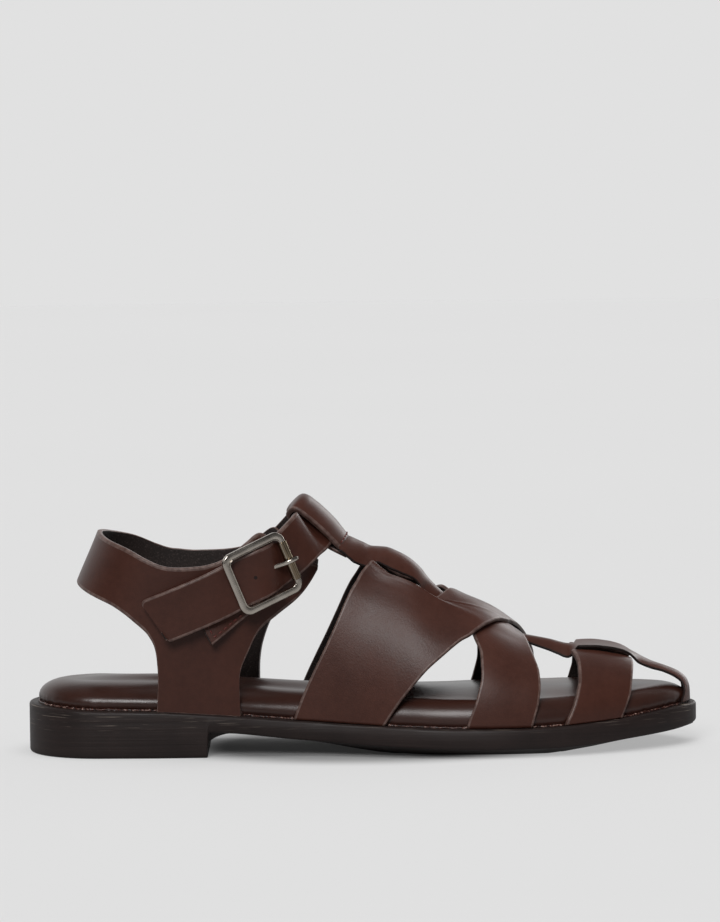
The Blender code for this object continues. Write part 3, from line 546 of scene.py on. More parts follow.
# From the lateral sole over the ridge to the medial sole: places of the rear and
# front edges, how far they stand off the last, the swell between them, and how
# far the lines across swing out to run round the slit.
SADDLE = table(
    "row rear_x rear_g rear_lift front_x front_g front_lift swell over_x over_g",
    (0, 115, -1, 2.2, 154.2, -1, 2.2, 0, 0, 0),
    (1, 119.6, -0.912, 2.2, 160.6, -0.91, 2.2, 0, 0, 0),
    (2, 124.3, -0.829, 2.2, 166.6, -0.83, 2.2, 0, 0, 0),
    (3, 129.3, -0.738, 2.2, 172.6, -0.74, 2.2, 0, 0, 0),
    (4, 134.3, -0.629, 2.2, 178.8, -0.645, 2.3, 0, 0, 0),
    (5, 137.6, -0.541, 2.2, 184, -0.56, 2.9, 0, 0, 0),
    (6, 140, -0.475, 2.4, 188, -0.495, 3.5, 0, 0, 0),
    (7, 142.5, -0.408, 2.7, 191.5, -0.447, 4.1, 0, -0.2, -0.004),
    (8, 144.9, -0.334, 3.4, 194.4, -0.39, 4.7, 0.2, -0.6, -0.012),
    (9, 147.4, -0.276, 4.8, 196.8, -0.335, 4.9, 0.5, -1.3, -0.027),
    (9.8, 149.4, -0.24, 6.1, 198.6, -0.29, 5, 0.9, -2.2, -0.047),
    (10.2, 150.5, -0.229, 5.6, 199.5, -0.27, 5, 1.1, -2.7, -0.062),
    (11, 153.8, -0.222, 3.8, 201.2, -0.225, 5.1, 1.4, -3.9, -0.089),
    (12, 157.8, -0.235, 2.6, 203, -0.175, 5.3, 1.7, -4.4, -0.102),
    (13, 161.8, -0.248, 2.2, 204.6, -0.13, 5.4, 1.9, -5.2, -0.109),
    (14, 165.8, -0.234, 2.3, 206, -0.09, 5.5, 2.1, -5.8, -0.129),
    (14.8, 169.6, -0.206, 2.6, 207, -0.06, 5.3, 2.2, -7.1, -0.153),
    (15.1, 170.7, -0.207, 2.3, 207.4, -0.05, 5.3, 2.2, -6.8, -0.15),
    (15.4, 171, -0.233, 1.4, 207.8, -0.04, 5.3, 2.2, -5.8, -0.126),
    (15.8, 172.2, -0.253, 1.4, 208.2, -0.03, 5.3, 2.1, -4.8, -0.104),
    (16.2, 174.4, -0.245, 1.9, 208.6, -0.02, 5.3, 2, -4.2, -0.098),
    (16.8, 177.2, -0.2, 2.9, 209.2, 0, 5.3, 1.8, -3.3, -0.1),
    (17.4, 180.1, -0.11, 4.4, 210, 0.02, 5.3, 1.6, -2.3, -0.1),
    (18.2, 183.6, -0.01, 6.6, 211.2, 0.05, 5.2, 1.3, -1.2, -0.05),
    (19, 187.2, 0.12, 6.4, 213, 0.12, 5, 1, -0.3, -0.01),
    (20, 190.4, 0.27, 4.8, 215.8, 0.25, 4.3, 0.6, 0, 0),
    (21, 193.2, 0.42, 4.2, 218.6, 0.4, 3.2, 0.2, 0, 0),
    (22, 195.6, 0.55, 2.8, 220.7, 0.55, 2.3, 0, 0, 0),
    (23, 195.7, 0.69, 2.2, 221.2, 0.69, 2.2, 0, 0, 0),
    (24, 193.6, 0.84, 2.2, 220.3, 0.84, 2.2, 0, 0, 0),
    (25, 189, 1, 2.2, 217.6, 1, 2.2, 0, 0, 0))
# Share of a band's width at which its lines swing out most.
SWING_OUT = 0.2


def hump(row, middle, width):
    """Bell over the rows: 1 at its middle, fading over a width."""
    return np.exp(-((row - middle) / width) ** 2)


# The band from the medial side lies beneath, straight on the last and the T-bar,
# and reaches a little further forward over the ridge.
CROSSING = dict(SADDLE, swell=0.25 * SADDLE["swell"])
row = SADDLE["row"]
beneath = 2.0 * np.clip((row - 15.5) / 2, 0, 1) + 1.6 * hump(row, 19.9, 1.1)
CROSSING["rear_lift"] = (np.maximum(SADDLE["rear_lift"] - beneath,
                                    np.minimum(SADDLE["rear_lift"], 1.5))
                         + 4.0 * hump(row, 17.1, 0.7))
CROSSING["front_lift"] = np.maximum(SADDLE["front_lift"] - 2.6, 1.5)
CROSSING["front_x"] = SADDLE["front_x"] + 3.6 * hump(row, 18, 2.2)


def band_place(tab, u, v):
    """(x, girth) and lift in a band: cubics from the rear edge through the swing-out
    to the front edge, straight where nothing swings out."""
    row = u * tab["row"][-1] + 0 * v
    t = (v + 1) / 2 + 0 * u
    rest = 1 - SWING_OUT
    place = []
    for names in ("rear_x front_x over_x", "rear_g front_g over_g"):
        rear, front, over = read(tab, names, row, "row")
        turn = rear + (front - rear) * SWING_OUT + over
        before, after = (turn - rear) / SWING_OUT, (front - turn) / rest
        same = before * after > 0
        middle = np.where(same, 2 * before * after / np.where(same, before + after, 1), 0.0)
        place.append(np.where(
            t < SWING_OUT,
            hermite(rear, turn, before * SWING_OUT, middle * SWING_OUT, t / SWING_OUT),
            hermite(turn, front, middle * rest, after * rest, (t - SWING_OUT) / rest)))
    lift, ahead, swell = read(tab, "rear_lift front_lift swell", row, "row")
    return np.stack(place, -1), lift + (ahead - lift) * t + swell * 6.75 * t * t * (1 - t)


def band(tab, mirror=1):
    """Surface and wall direction of a band over the last, for strap()."""
    def surface(u, v):
        """Point of the outer face."""
        place, lift = band_place(tab, u, v)
        return on_last(place[..., 0], mirror * place[..., 1], lift)

    def normal(u, v):
        """The last's own outward direction, so that the wall stays even."""
        place, lift = band_place(tab, u, v)
        x, girth = place[..., 0], mirror * place[..., 1]
        along = on_last(x + 0.5, girth, lift) - on_last(x - 0.5, girth, lift)
        girth = np.clip(girth, -0.985, 0.985)
        upward = on_last(x, girth + 0.01, lift) - on_last(x, girth - 0.01, lift)
        return unit(np.cross(along, upward))
    return dict(surface=surface, normal=normal, side=-mirror)


saddle = strap("saddle_band", rows=260, across=44, wall=1.7, edge=0.7, **band(SADDLE))
seat(saddle, "strap_leather", "upper")
crossing = strap("crossing_band", rows=260, across=44, wall=1.5, edge=0.65, **band(CROSSING, -1))
seat(crossing, "strap_leather")

# The toe band is two panels, one from each side, whose upper edges stand free
# beside the T-bar.
TOE_BAND = table(
    "row rear_x rear_g rear_lift front_x front_g front_lift swell over_x over_g",
    (0, 231.8, -1, 2.2, 256.8, -1, 2.2, 0, 0, 0),
    (1, 234.9, -0.884, 2.2, 259.1, -0.88, 2.2, 0, 0, 0),
    (2, 236.8, -0.741, 2.2, 260.7, -0.74, 2.2, 0, 0, 0),
    (3, 237.8, -0.596, 2.2, 261.4, -0.58, 2.3, 0, 0, 0),
    (4, 237.7, -0.418, 2.3, 262, -0.41, 2.7, 0.1, 0, 0),
    (5, 236.7, -0.264, 2.5, 262.3, -0.27, 3.2, 0.1, 0, 0),
    (6, 235.4, -0.16, 2.5, 262, -0.17, 3.4, 0, 0, 0))
for side, mirror in (("lateral", 1), ("medial", -1)):
    seat(strap("toe_band_" + side, rows=90, across=30, **band(TOE_BAND, mirror)),
         "strap_leather")


# ---------------------------------------------------------------- T-bar
# A strap cut with two broad leaves: from the ankle strap's loop it spreads over
# the saddle's slit, narrows to pass under both saddle bands, spreads again over
# the toe band and turns down to be lasted at the toe.

T_BAR = table(
    "x z half drop",
    (136.2, 92.7, 14.6, 5.6), (138, 92.4, 14.6, 6), (140.3, 91.7, 14.6, 6.6),
    (142.7, 90.6, 14.4, 7.4), (146, 89.1, 13.9, 8.4), (149.5, 87.5, 12.8, 8),
    (152, 87.3, 12.2, 5.8), (155.5, 87, 11.8, 6.8), (161, 84.9, 11.8, 7.1),
    (166, 82, 11.2, 6.7), (171, 77.4, 10.2, 4.9), (173.2, 74.4, 9.8, 4.4),
    (175.5, 71.7, 9.2, 6.6), (180, 67.4, 7.6, 5.4), (184, 64.6, 6.4, 3), (190, 61.3, 5.6, 1.6),
    (200, 55.4, 5.2, 1.2), (208, 51.2, 5.2, 1.4), (214, 48.6, 5.5, 2), (218, 47.7, 5.7, 2.8),
    (222.5, 46.8, 6, 3.6), (227, 45.8, 6.4, 4.2), (231, 44.6, 7.2, 4.6),
    (234.2, 43.9, 8.4, 5.2), (236.4, 43.8, 10, 2.6), (238.4, 44, 11.4, -0.2),
    (244.8, 43.9, 12.2, -0.4), (251.7, 43.1, 11.8, -0.4), (257, 42, 10.6, -0.2),
    (260.6, 40.7, 9.2, 0.2), (263.4, 39.4, 8.2, 1.2), (266.5, 37.7, 7.4, 2.4),
    (271, 35.5, 6.6, 2.2), (276.5, 33.5, 6.2, 1.8), (282.6, 30.8, 6.2, 2.2),
    (286.2, 27.4, 6.6, 2.4), (287.3, 23.5, 8, 2.6), (287.5, 18.6, 12, 4.4))


def measured(tab, names):
    """The table with the length and the share of the way along its named columns."""
    way = lengths(np.stack([tab[name] for name in names.split()], -1))
    return dict(tab, way=way, share=way / way[-1])


T_BAR = measured(T_BAR, "x z")


def t_bar_surface(u, v):
    """The path at u, with the edges turned down along its normal by v to the 2.2."""
    x, z, half, drop = read(T_BAR, "x z half drop", u, "share")
    dx, dz = read(T_BAR, "x z", u + 0.004, "share") - read(T_BAR, "x z", u - 0.004, "share")
    down = drop / np.hypot(dx, dz) * np.abs(v) ** 2.2
    return np.stack(np.broadcast_arrays(x + dz * down, swing(x) + half * v, z - dx * down), -1)


# Its edges are skived thin and carry no edge paint; they are coloured near black as painted
# shade, so the gap beneath its leaves shows dark.
shade_dark_leather = hide_leather("painted_shade_dark_leather", "#140c0a", "#211310", 0.5, 0.6)
t_bar = strap("t_bar", t_bar_surface, 340, 26, [strap_leather, shade_dark_leather, lining],
              wall=1.1, edge=0.45, back=0.3, paint=0.05)
seat(t_bar, "strap_leather")

# Its rear end is folded into a loop for the ankle strap and sewn down on itself.
LOOP_TOP = (127.0, 106.0)
LOOP_TILT = math.radians(38.5)
LOOP_RADIUS, LOOP_TURN = 20.0, 48.0
# The loop's outer side: from its end on the T-bar back over the ankle strap, round
# the rear fold and forward again under the strap, to the T-bar's underside.
LOOP = table(
    "run depth",
    (18.4, 3.1), (17.8, 2.8), (16, 2.3), (13.9, 1.8), (9.4, 0.7), (3.7, 0), (-0.6, -0.3),
    (-4.6, -0.3), (-7.2, 0.2), (-8.6, 1.2), (-9.3, 2.8), (-9.6, 5), (-9.4, 7.4), (-8.4, 9.2),
    (-6.6, 10.1), (-3, 10.3), (4, 10.2), (10, 9.9), (15, 9.2), (19, 8), (23, 6.6))


def round_loop(run, depth, turn):
    """Point in the loop from its run down the T-bar, the depth below its ridge, and
    the degrees round the axis that lies LOOP_RADIUS below."""
    run, depth, turn = np.broadcast_arrays(run, depth, turn)
    angle = np.radians(turn)
    below = LOOP_RADIUS - (LOOP_RADIUS - depth) * np.cos(angle)
    return np.stack([LOOP_TOP[0] + run * math.cos(LOOP_TILT) - below * math.sin(LOOP_TILT),
                     (LOOP_RADIUS - depth) * np.sin(angle),
                     LOOP_TOP[1] - run * math.sin(LOOP_TILT) - below * math.cos(LOOP_TILT)], -1)


LOOP = measured(LOOP, "run depth")


def loop_surface(u, v):
    """The loop's course bent round its axis."""
    return round_loop(*read(LOOP, "run depth", u, "share"), v * LOOP_TURN)


seat(strap("ankle_loop", loop_surface, 180, 26, side=-1), "strap_leather")


# ---------------------------------------------------------------- quarter
# The heel strap and its two wings, cut in one piece of the same hide and lined.
# It stands between the insole and the sole at the waist and holds the heel.

ANKLE_MIDDLE = 62.0
ANKLE = table(
    "z rear front half fullness",
    (18, 3.7, 122, 30.3, 2.8), (35, 8.5, 125, 31.5, 2.5), (50, 14, 127, 32, 2.3),
    (74, 23.6, 128, 32.5, 2.05), (97, 33.5, 128, 32.5, 2), (115, 40, 126, 32, 2))
QUARTER = table(
    "row low_turn low_z top_turn top_z forward rise",
    (0, 0, 73.9, 0, 96.1, 0, 0), (1, 22, 71.8, 19, 95, 0.9, 0.2),
    (2, 57, 65.8, 55, 90.8, 1.8, 0.5), (3, 73.4, 58.9, 75, 85.8, 2.7, 0.8),
    (4, 82, 52.9, 83.5, 83.6, 3.6, 1), (5, 85.5, 46.9, 88, 82.8, 4.5, 1.2),
    (6, 87.2, 37, 91, 82.4, 4.5, 1.2), (7, 89.4, 0, 94, 82.2, 4.5, 1.2),
    (8, 99, 0, 101, 82.5, 6.5, 1.2), (9, 110, 0, 107.5, 84, 8.6, 1),
    (10, 112.4, 34, 113.5, 87.2, 8.2, 0.2), (11, 116.6, 44.5, 119.5, 92, 6.5, -1.2),
    (12, 122.8, 54.3, 126, 96.2, 5.5, -2.4), (13, 132.2, 60.7, 133, 92, 4, -1.5),
    (14, 145.5, 68, 146, 84, 2, -0.5), (15, 159.5, 78, 160.5, 81, 0, 0))


def round_ankle(turn, z, side):
    """Point on the quarter's outside: a superellipse in plan at each height, from the
    middle of the heel (0 degrees) forward along the side."""
    angle = np.radians(turn)
    rear, front, half, fullness = read(ANKLE, "rear front half fullness", z, "z")
    reach = np.where(angle < math.pi / 2, rear - ANKLE_MIDDLE - WALL, front - ANKLE_MIDDLE + WALL)
    x = ANKLE_MIDDLE + reach * np.abs(np.cos(angle)) ** (2 / fullness)
    y = side * (half + WALL) * np.abs(np.sin(angle)) ** (2 / fullness)
    return np.stack([x, y, z + 0 * angle], -1)


def quarter_surface(u, v):
    """From the lateral wing's tip round the heel to the medial wing's: lines from
    the lower edge (v = -1) to the upper one (v = 1), read from the table."""
    across_heel = (2 * u - 1) * (len(QUARTER["row"]) - 1) + 0 * v
    side = np.where(across_heel < 0, -1.0, 1.0)
    row = np.abs(across_heel)
    low_turn, low_z, top_turn, top_z, forward, rise = read(
        QUARTER, "low_turn low_z top_turn top_z forward rise", row, "row")
    low_turn, top_turn = low_turn + forward * (side > 0), top_turn + forward * (side > 0)
    top_z = top_z + rise * (side > 0)
    foot_x = round_ankle(low_turn, 19.0 + 0 * row, side)[..., 0]
    low_z = np.maximum(low_z, read(SOLE, "top", foot_x) - 1.4)
    share = (v + 1) / 2
    return round_ankle(low_turn + (top_turn - low_turn) * share,
                       low_z + (top_z - low_z) * share, side)


quarter = strap("heel_quarter", quarter_surface, 420, 40, side=-1, paint=0.8)
seat(quarter, "strap_leather", "quarter")


# ---------------------------------------------------------------- ankle strap
# A lined strap of the same hide. It is sewn to the medial wing, runs through the
# loop and the roller buckle, and its cut tip lies free along the lateral side.

BUCKLE = np.array([102.6, -36.5, 79.6])
climb, ahead_angle, lean = math.radians(22.5), math.radians(21.0), math.radians(2.0)
U_AXIS = np.array([math.cos(climb) * math.cos(ahead_angle),
                   math.cos(climb) * math.sin(ahead_angle), math.sin(climb)])
flat_up = unit(np.array([0, 0, 1.0]) - U_AXIS * U_AXIS[2])
W_AXIS = flat_up * math.cos(lean) - np.cross(U_AXIS, flat_up) * math.sin(lean)
N_AXIS = np.cross(U_AXIS, W_AXIS)


def at_buckle(u, w, n):
    """Point in the buckle's own axes: along the strap, across it and outward."""
    u, w, n = np.broadcast_arrays(*(np.asarray(value, float)[..., None] for value in (u, w, n)))
    return BUCKLE + u * U_AXIS + w * W_AXIS + n * N_AXIS


STRAP_WIDTH = 21.0
STRAP_SEWN = table(
    "x y z lean",
    (92, 33.6, 73.2, 2), (102, 31.8, 77.6, 4), (110, 29.6, 81.6, 12))
STRAP_LOOPED = table(
    "turn run depth lean",
    (0, 3.8, 5.5, 51.5), (15, 3.8, 5.5, 50.5), (30, 3.8, 5.5, 47.5), (42, 3.7, 6, 49),
    (51, 4, 6.8, 55), (58, 3.7, 4.6, 47), (63, 3.2, -0.5, 32))
STRAP_BUCKLED = table(
    "u w n lean",
    (17.5, 2.4, -4.3, 4), (13.4, 1.1, -4.5, 0), (10, 0.3, -3.7, 0), (6.5, 0, -1.5, 0),
    (3, 0, 0.1, 0), (0, 0, 0.5, 0), (-4, 0, -0.3, 0), (-8.5, -0.1, -2.2, 0),
    (-13.4, -0.5, -3.3, 0), (-22, -1, -4.6, 0), (-34, -1.2, -8.6, 0), (-46, -1.3, -14, 0),
    (-50, -1.4, -16.2, 0))
TIP_CORNER, TIP_SLANT, TIP_REACH = 2.0, 4.4, 16.0


def strap_middle():
    """The strap's middle line and its lean, from the medial end through the loop and
    the buckle to the tip, eased by repeated averaging."""
    def course(rows):
        """Rows of x, y, z and lean as a table with its share of the way."""
        return measured(dict(zip(("x", "y", "z", "lean"), rows.T)), "x y z")

    sewn = np.stack([STRAP_SEWN[name] for name in ("x", "y", "z", "lean")], -1)
    looped = round_loop(*(STRAP_LOOPED[name] for name in ("run", "depth", "turn")))
    looped = np.concatenate([looped, STRAP_LOOPED["lean"][:, None]], 1)
    buckled = at_buckle(*(STRAP_BUCKLED[name] for name in "uwn"))
    buckled = np.concatenate([buckled, STRAP_BUCKLED["lean"][:, None]], 1)
    whole = course(np.concatenate([sewn, looped[:0:-1], looped * (1, -1, 1, 1), buckled]))
    rows = read(whole, "x y z lean", np.linspace(0, 1, 56), "share").T
    for _ in range(3):
        rows[1:-1] = (rows[:-2] + 2 * rows[1:-1] + rows[2:]) / 4
    return course(rows)


STRAP_COURSE = strap_middle()
STRAP_RUN = STRAP_COURSE["way"][-1]


def strap_line(u):
    """Middle point, tangent, width and outward directions at a share of the run."""
    here, before, after = (np.stack(read(STRAP_COURSE, "x y z", share, "share"), -1)
                           for share in (u, u - 0.006, u + 0.006))
    tangent = unit(after - before)
    up = unit(np.array([0, 0, 1.0]) - tangent * tangent[..., 2:])
    angle = np.radians(read(STRAP_COURSE, "lean", u, "share"))[..., None]
    width = up * np.cos(angle) - np.cross(up, tangent) * np.sin(angle)
    return here, tangent, width, np.cross(width, tangent)


def ankle_strap_surface(u, v):
    """Outer face: the middle line spread to both sides, its corners rounded at the
    tip and its lower corner cut back."""
    here, tangent, width, out = strap_line(u)
    from_tip = (1 - u) * STRAP_RUN
    inside = np.clip(TIP_CORNER - from_tip, 0, TIP_CORNER)
    half = STRAP_WIDTH / 2 - TIP_CORNER + np.sqrt(TIP_CORNER ** 2 - inside ** 2)
    cut_back = TIP_SLANT * np.clip(1 - from_tip / TIP_REACH, 0, 1) * (1 - v) / 2
    return (here + out * WALL / 2 + width * (half * v)[..., None]
            - tangent * cut_back[..., None])


# Rows crowd towards the tip, whose corners are rounded.
strap_rows = np.concatenate([np.linspace(0, 0.975, 330),
                             1 - 0.025 * np.linspace(0.97, 0, 30) ** 1.6])
ankle_strap = strap("ankle_strap_leather", ankle_strap_surface, strap_rows, 24, side=-1)
seat(ankle_strap, "strap_leather", "ankle_strap")


def turns(count):
    """Equal steps of angle round a full turn."""
    return np.linspace(0, 2 * math.pi, count + 1)[:-1]


# The one punched hole that shows, inside the buckle: a dark disc in the strap's face, painted
# shade standing in for the open hole.
HOLE_SHARE, HOLE_SIDE, HOLE_RADIUS = 0.7015, -0.26, 0.8
centre, tangent, width, out = (part[0] for part in strap_line(np.array([HOLE_SHARE])))
turn, radius = turns(24), np.array([[0.0], [HOLE_RADIUS]])
points = (centre + out * (WALL / 2 + 0.06) + (radius * np.cos(turn))[..., None] * tangent
          + (HOLE_SIDE + radius * np.sin(turn))[..., None] * width)
seat(weld(make_mesh("strap_hole_shade_disc", points, grid_quads(2, 24, True), [shade_dark_leather])),
     "strap_leather")


# ---------------------------------------------------------------- buckle tab
# Short strap of thin hide, folded round the buckle's centre bar and sewn askew to
# the lateral wing with waxed thread.

TAB_LEATHER, TAB_HALF, TAB_TAIL = 1.2, 8.5, -31.0
TAB_SKEW, TAB_TILT, TAB_DROP = math.tan(math.radians(14)), 0.009, 3.4
SEAM_MARGIN = 2.0
TAB = table(
    "u n",
    (-31, -9.8), (-22, -8.6), (-18, -8.4), (-14, -7.8), (-10, -7.2), (-4.5, -6.6),
    (-2.2, -6.6), (0, -6.9))
PIVOT, PIVOT_DEPTH = 1.0, -4.7


def tab_course():
    """The fold's outer side: from the tail's end under the centre bar, round it and
    a short way back over the tail."""
    out = np.linspace(TAB_TAIL, -1.2, 40)
    low = read(TAB, "n", out, "u") - TAB_LEATHER
    turn = np.linspace(-0.5, 0.5, 14)[1:-1] * math.pi
    radius = PIVOT + 0.35 + TAB_LEATHER
    back = np.linspace(-0.6, TAB_TAIL, 50)
    high = read(TAB, "n", back, "u") + TAB_LEATHER
    high = high + (PIVOT_DEPTH + radius - high) * smooth_step(back, -5.0, 0.0)
    u = np.concatenate([out, radius * np.cos(turn), back])
    n = np.concatenate([low, PIVOT_DEPTH + radius * np.sin(turn), high])
    return measured(dict(u=u, n=n), "u n")


TAB_COURSE = tab_course()


def tab_middle(u):
    """How far the tab's middle strays across the strap: askew, and dropped behind."""
    return TAB_SKEW * np.minimum(u, 0) - TAB_DROP * smooth_step(-u, 0.0, 12.0)


def tab_surface(u, v):
    """The fold's course carried across the tab's width, askew to the strap."""
    back, deep = (np.interp(u, TAB_COURSE["share"], TAB_COURSE[name]) for name in "un")
    w = TAB_HALF * v
    return at_buckle(back + 0 * w, w + tab_middle(back),
                     deep + TAB_TILT * np.minimum(back, 0) * w)


tab = strap("buckle_tab_leather", tab_surface, 150, 20, side=-1, wall=TAB_LEATHER - 0.05,
            edge=0.45, back=0.2)
seat(tab, "strap_leather", "buckle_tab")

# Waxed polyester thread, two strands laid together, dark red.
thread, tree, shader, place = new_material("waxed_red_thread", IOR=1.5, Roughness=0.5)
twist = add(tree, "TexWave", place, Scale=900.0, Distortion=1.0,
            bands_direction="DIAGONAL").outputs["Fac"]
tone = add(tree, "ValToRGB", twist, stops=[(0.2, "#3f1512"), (0.8, "#743028")])
dress(tree, shader, tone, bumps=[(twist, 0.3, 0.0002)])


def stitches(name, line, out, pitch, radius=0.32, rise=0.25, share=0.68):
    """Row of stitches along a polyline with outward directions: each is a capsule
    that rises as an arc between its two needle holes."""
    steps = lengths(line)
    count = max(1, int(round(steps[-1] / pitch)))
    pitch = steps[-1] / count
    t = np.linspace(0, 1, 9)
    turn = turns(8)
    at = (np.arange(count)[:, None] + 0.5 + (t - 0.5) * share) * pitch
    place = np.stack([np.interp(at, steps, line[:, i]) for i in range(3)], -1)
    up = unit(np.stack([np.interp(at, steps, out[:, i]) for i in range(3)], -1))
    ahead = unit(place[:, -1:] - place[:, :1]) + 0 * place
    aside = np.cross(up, ahead)
    arc = np.sin(math.pi * t)
    place = place + up * (rise * arc - 0.15)[:, None]
    girth = radius * np.sqrt(np.clip(1 - (2 * t - 1) ** 6, 0, 1))
    ring = (np.cos(turn)[:, None] * aside[:, :, None] + np.sin(turn)[:, None] * up[:, :, None])
    points = place[:, :, None] + ring * girth[:, None, None]
    quads = grid_quads(len(t), len(turn), True)
    offset = np.arange(count)[:, None, None] * len(t) * len(turn)
    return weld(make_mesh(name, points, (quads + offset).reshape(-1, 4), [thread]))


def rounded(corners, radius, steps=5):
    """Polyline through corners, each rounded by a quadratic curve."""
    corners = np.array(corners, float)
    line = [corners[:1]]
    for i in range(1, len(corners) - 1):
        before = corners[i] + unit(corners[i - 1] - corners[i]) * radius
        after = corners[i] + unit(corners[i + 1] - corners[i]) * radius
        t = np.linspace(0, 1, steps)[:, None]
        line.append(before * (1 - t) ** 2 + corners[i] * 2 * t * (1 - t) + after * t ** 2)
    return np.concatenate(line + [corners[-1:]])


side = TAB_HALF - SEAM_MARGIN
seam = rounded([(-8.0, side), (TAB_TAIL + SEAM_MARGIN, side), (TAB_TAIL + SEAM_MARGIN, -side),
                (-8.0, -side)], 0.8)
seam = np.concatenate([np.linspace(a, b, 8, endpoint=False)
                       for a, b in zip(seam[:-1], seam[1:])] + [seam[-1:]])
seam_u, seam_w = seam.T
seam_n = read(TAB, "n", seam_u, "u") + TAB_LEATHER + TAB_TILT * seam_u * seam_w
seam_line = at_buckle(seam_u, seam_w + tab_middle(seam_u), seam_n)
tab_seam = stitches("tab_seam", seam_line, np.broadcast_to(N_AXIS, seam_line.shape), 2.9)
seat(tab_seam, "strap_leather")

# The same thread fastens the loop's end across the T-bar.
seam_turn = np.linspace(-0.86, 0.86, 40) * LOOP_TURN
seam_line = round_loop(17.2, 2.55, seam_turn)
loop_seam = stitches("loop_seam", seam_line, seam_line - round_loop(17.2, 4.0, seam_turn), 2.6)
seat(loop_seam, "strap_leather")


# ---------------------------------------------------------------- buckle
# Zinc die-cast frame with a centre bar on two crescent lugs, a split sleeve that
# rolls on the front bar and a bent prong; all are plated gunmetal and polished.

BAR_HALF, END_BARS, SIDE_BARS, CORNER = 1.25, 13.4, 12.4, 3.0
ROLLER_HALF, ROLLER_LENGTH = 2.0, 17.6
PRONG_HALF = 0.95


def plating(name, dark, light):
    """Plated and polished metal between two tones, a little tarnished and rubbed."""
    material, tree, shader, place = new_material(name, Metallic=1.0)
    tarnish = add(tree, "TexNoise", place, Scale=160.0, Detail=5.0)
    rub = add(tree, "TexNoise", place, Scale=2500.0)
    tone = add(tree, "ValToRGB", tarnish, stops=[(0.3, dark), (0.7, light)])
    dress(tree, shader, tone, (tarnish, 0.17, 0.27), [(rub, 0.04, 0.0001)])
    return material


# The roller's sleeve has a darker and warmer plating than the frame.
gunmetal = plating("polished_gunmetal_plating", "#b4aba1", "#d4ccc2")
darker_roller_plating = plating("darker_warm_roller_plating", "#7d6f5e", "#96866f")


def tube(name, path, binormal, wide, deep, power=2.0, closed=False, segments=24):
    """Metal bar along a path: a superellipse section, wide across the path within its
    plane and deep along the binormal; either may vary along the path."""
    path, binormal = np.asarray(path, float), np.asarray(binormal, float)
    if closed:
        tangent = np.roll(path, -1, 0) - np.roll(path, 1, 0)
    else:
        tangent = np.gradient(path, axis=0)
    aside = unit(np.cross(binormal, unit(tangent)))
    turn = turns(segments)
    c = np.sign(np.cos(turn)) * np.abs(np.cos(turn)) ** (2 / power)
    s = np.sign(np.sin(turn)) * np.abs(np.sin(turn)) ** (2 / power)
    wide, deep = (np.broadcast_to(value, len(path))[:, None, None] for value in (wide, deep))
    points = path[:, None] + aside[:, None] * c[:, None] * wide + binormal * s[:, None] * deep
    quads = grid_quads(len(path), segments, True)
    if closed:
        points = np.concatenate([points, points[:1]])
        quads = grid_quads(len(path) + 1, segments, True)
    return weld(make_mesh(name, points, quads[:, ::-1], [gunmetal]))


def tapered(half, ends, count):
    """Half sizes that round off to nothing over the first and last ends rows."""
    t = np.minimum(np.arange(count), np.arange(count)[::-1]) / ends
    return half * np.sqrt(np.clip(1 - np.clip(1 - t, 0, 1) ** 2, 0, 1))


QUARTERS = np.arange(4) * math.pi / 2
corner_turn = np.linspace(0, math.pi / 2, 12)
frame_u = np.concatenate([sign * (END_BARS - CORNER) + CORNER * np.cos(corner_turn + turn)
                          for sign, turn in zip((1, -1, -1, 1), QUARTERS)])
frame_w = np.concatenate([sign * (SIDE_BARS - CORNER) + CORNER * np.sin(corner_turn + turn)
                          for sign, turn in zip((1, 1, -1, -1), QUARTERS)])
# The front bar is slimmer, where the roller turns on it.
slim = 1 - 0.14 * np.clip((frame_u - 11.0) / 2.4, 0, 1)
buckle_frame = tube("buckle_frame_bars", at_buckle(frame_u, frame_w, 0.0), N_AXIS, 1.7 * slim,
                    BAR_HALF, power=3.6, closed=True, segments=32)
seat(buckle_frame, "buckle_metal", "buckle_frame")
# The frame's inner edge is cast as a raised bead.
bead_path = at_buckle(frame_u * (1 - 1.2 / END_BARS), frame_w * (1 - 1.2 / SIDE_BARS), 0.35)
frame_bead = tube("buckle_frame_bead", bead_path, N_AXIS, 0.42 * slim, BAR_HALF,
                  closed=True, segments=16)
seat(frame_bead, "buckle_metal")

# The centre bar lies behind the frame, hung on a crescent lug at each side bar.
bar_w = np.linspace(-SIDE_BARS, SIDE_BARS, 30)
centre_bar = tube("centre_bar", at_buckle(0.0, bar_w, PIVOT_DEPTH), N_AXIS,
                  tapered(PIVOT, 3, 30), tapered(PIVOT, 3, 30))
seat(centre_bar, "buckle_metal")
for place_name, sign in (("upper", 1), ("lower", -1)):
    reach = np.linspace(-1, 1, 30)
    lug_path = at_buckle(7.5 * reach, sign * (SIDE_BARS - 0.2 + 0 * reach),
                         -1.0 + (PIVOT_DEPTH + 1.6) * (1 - reach ** 2))
    lug = tube("centre_bar_lug_" + place_name, lug_path, W_AXIS,
               0.35 + 1.2 * (1 - reach ** 2), 0.8, power=3.0)
    seat(lug, "buckle_metal")

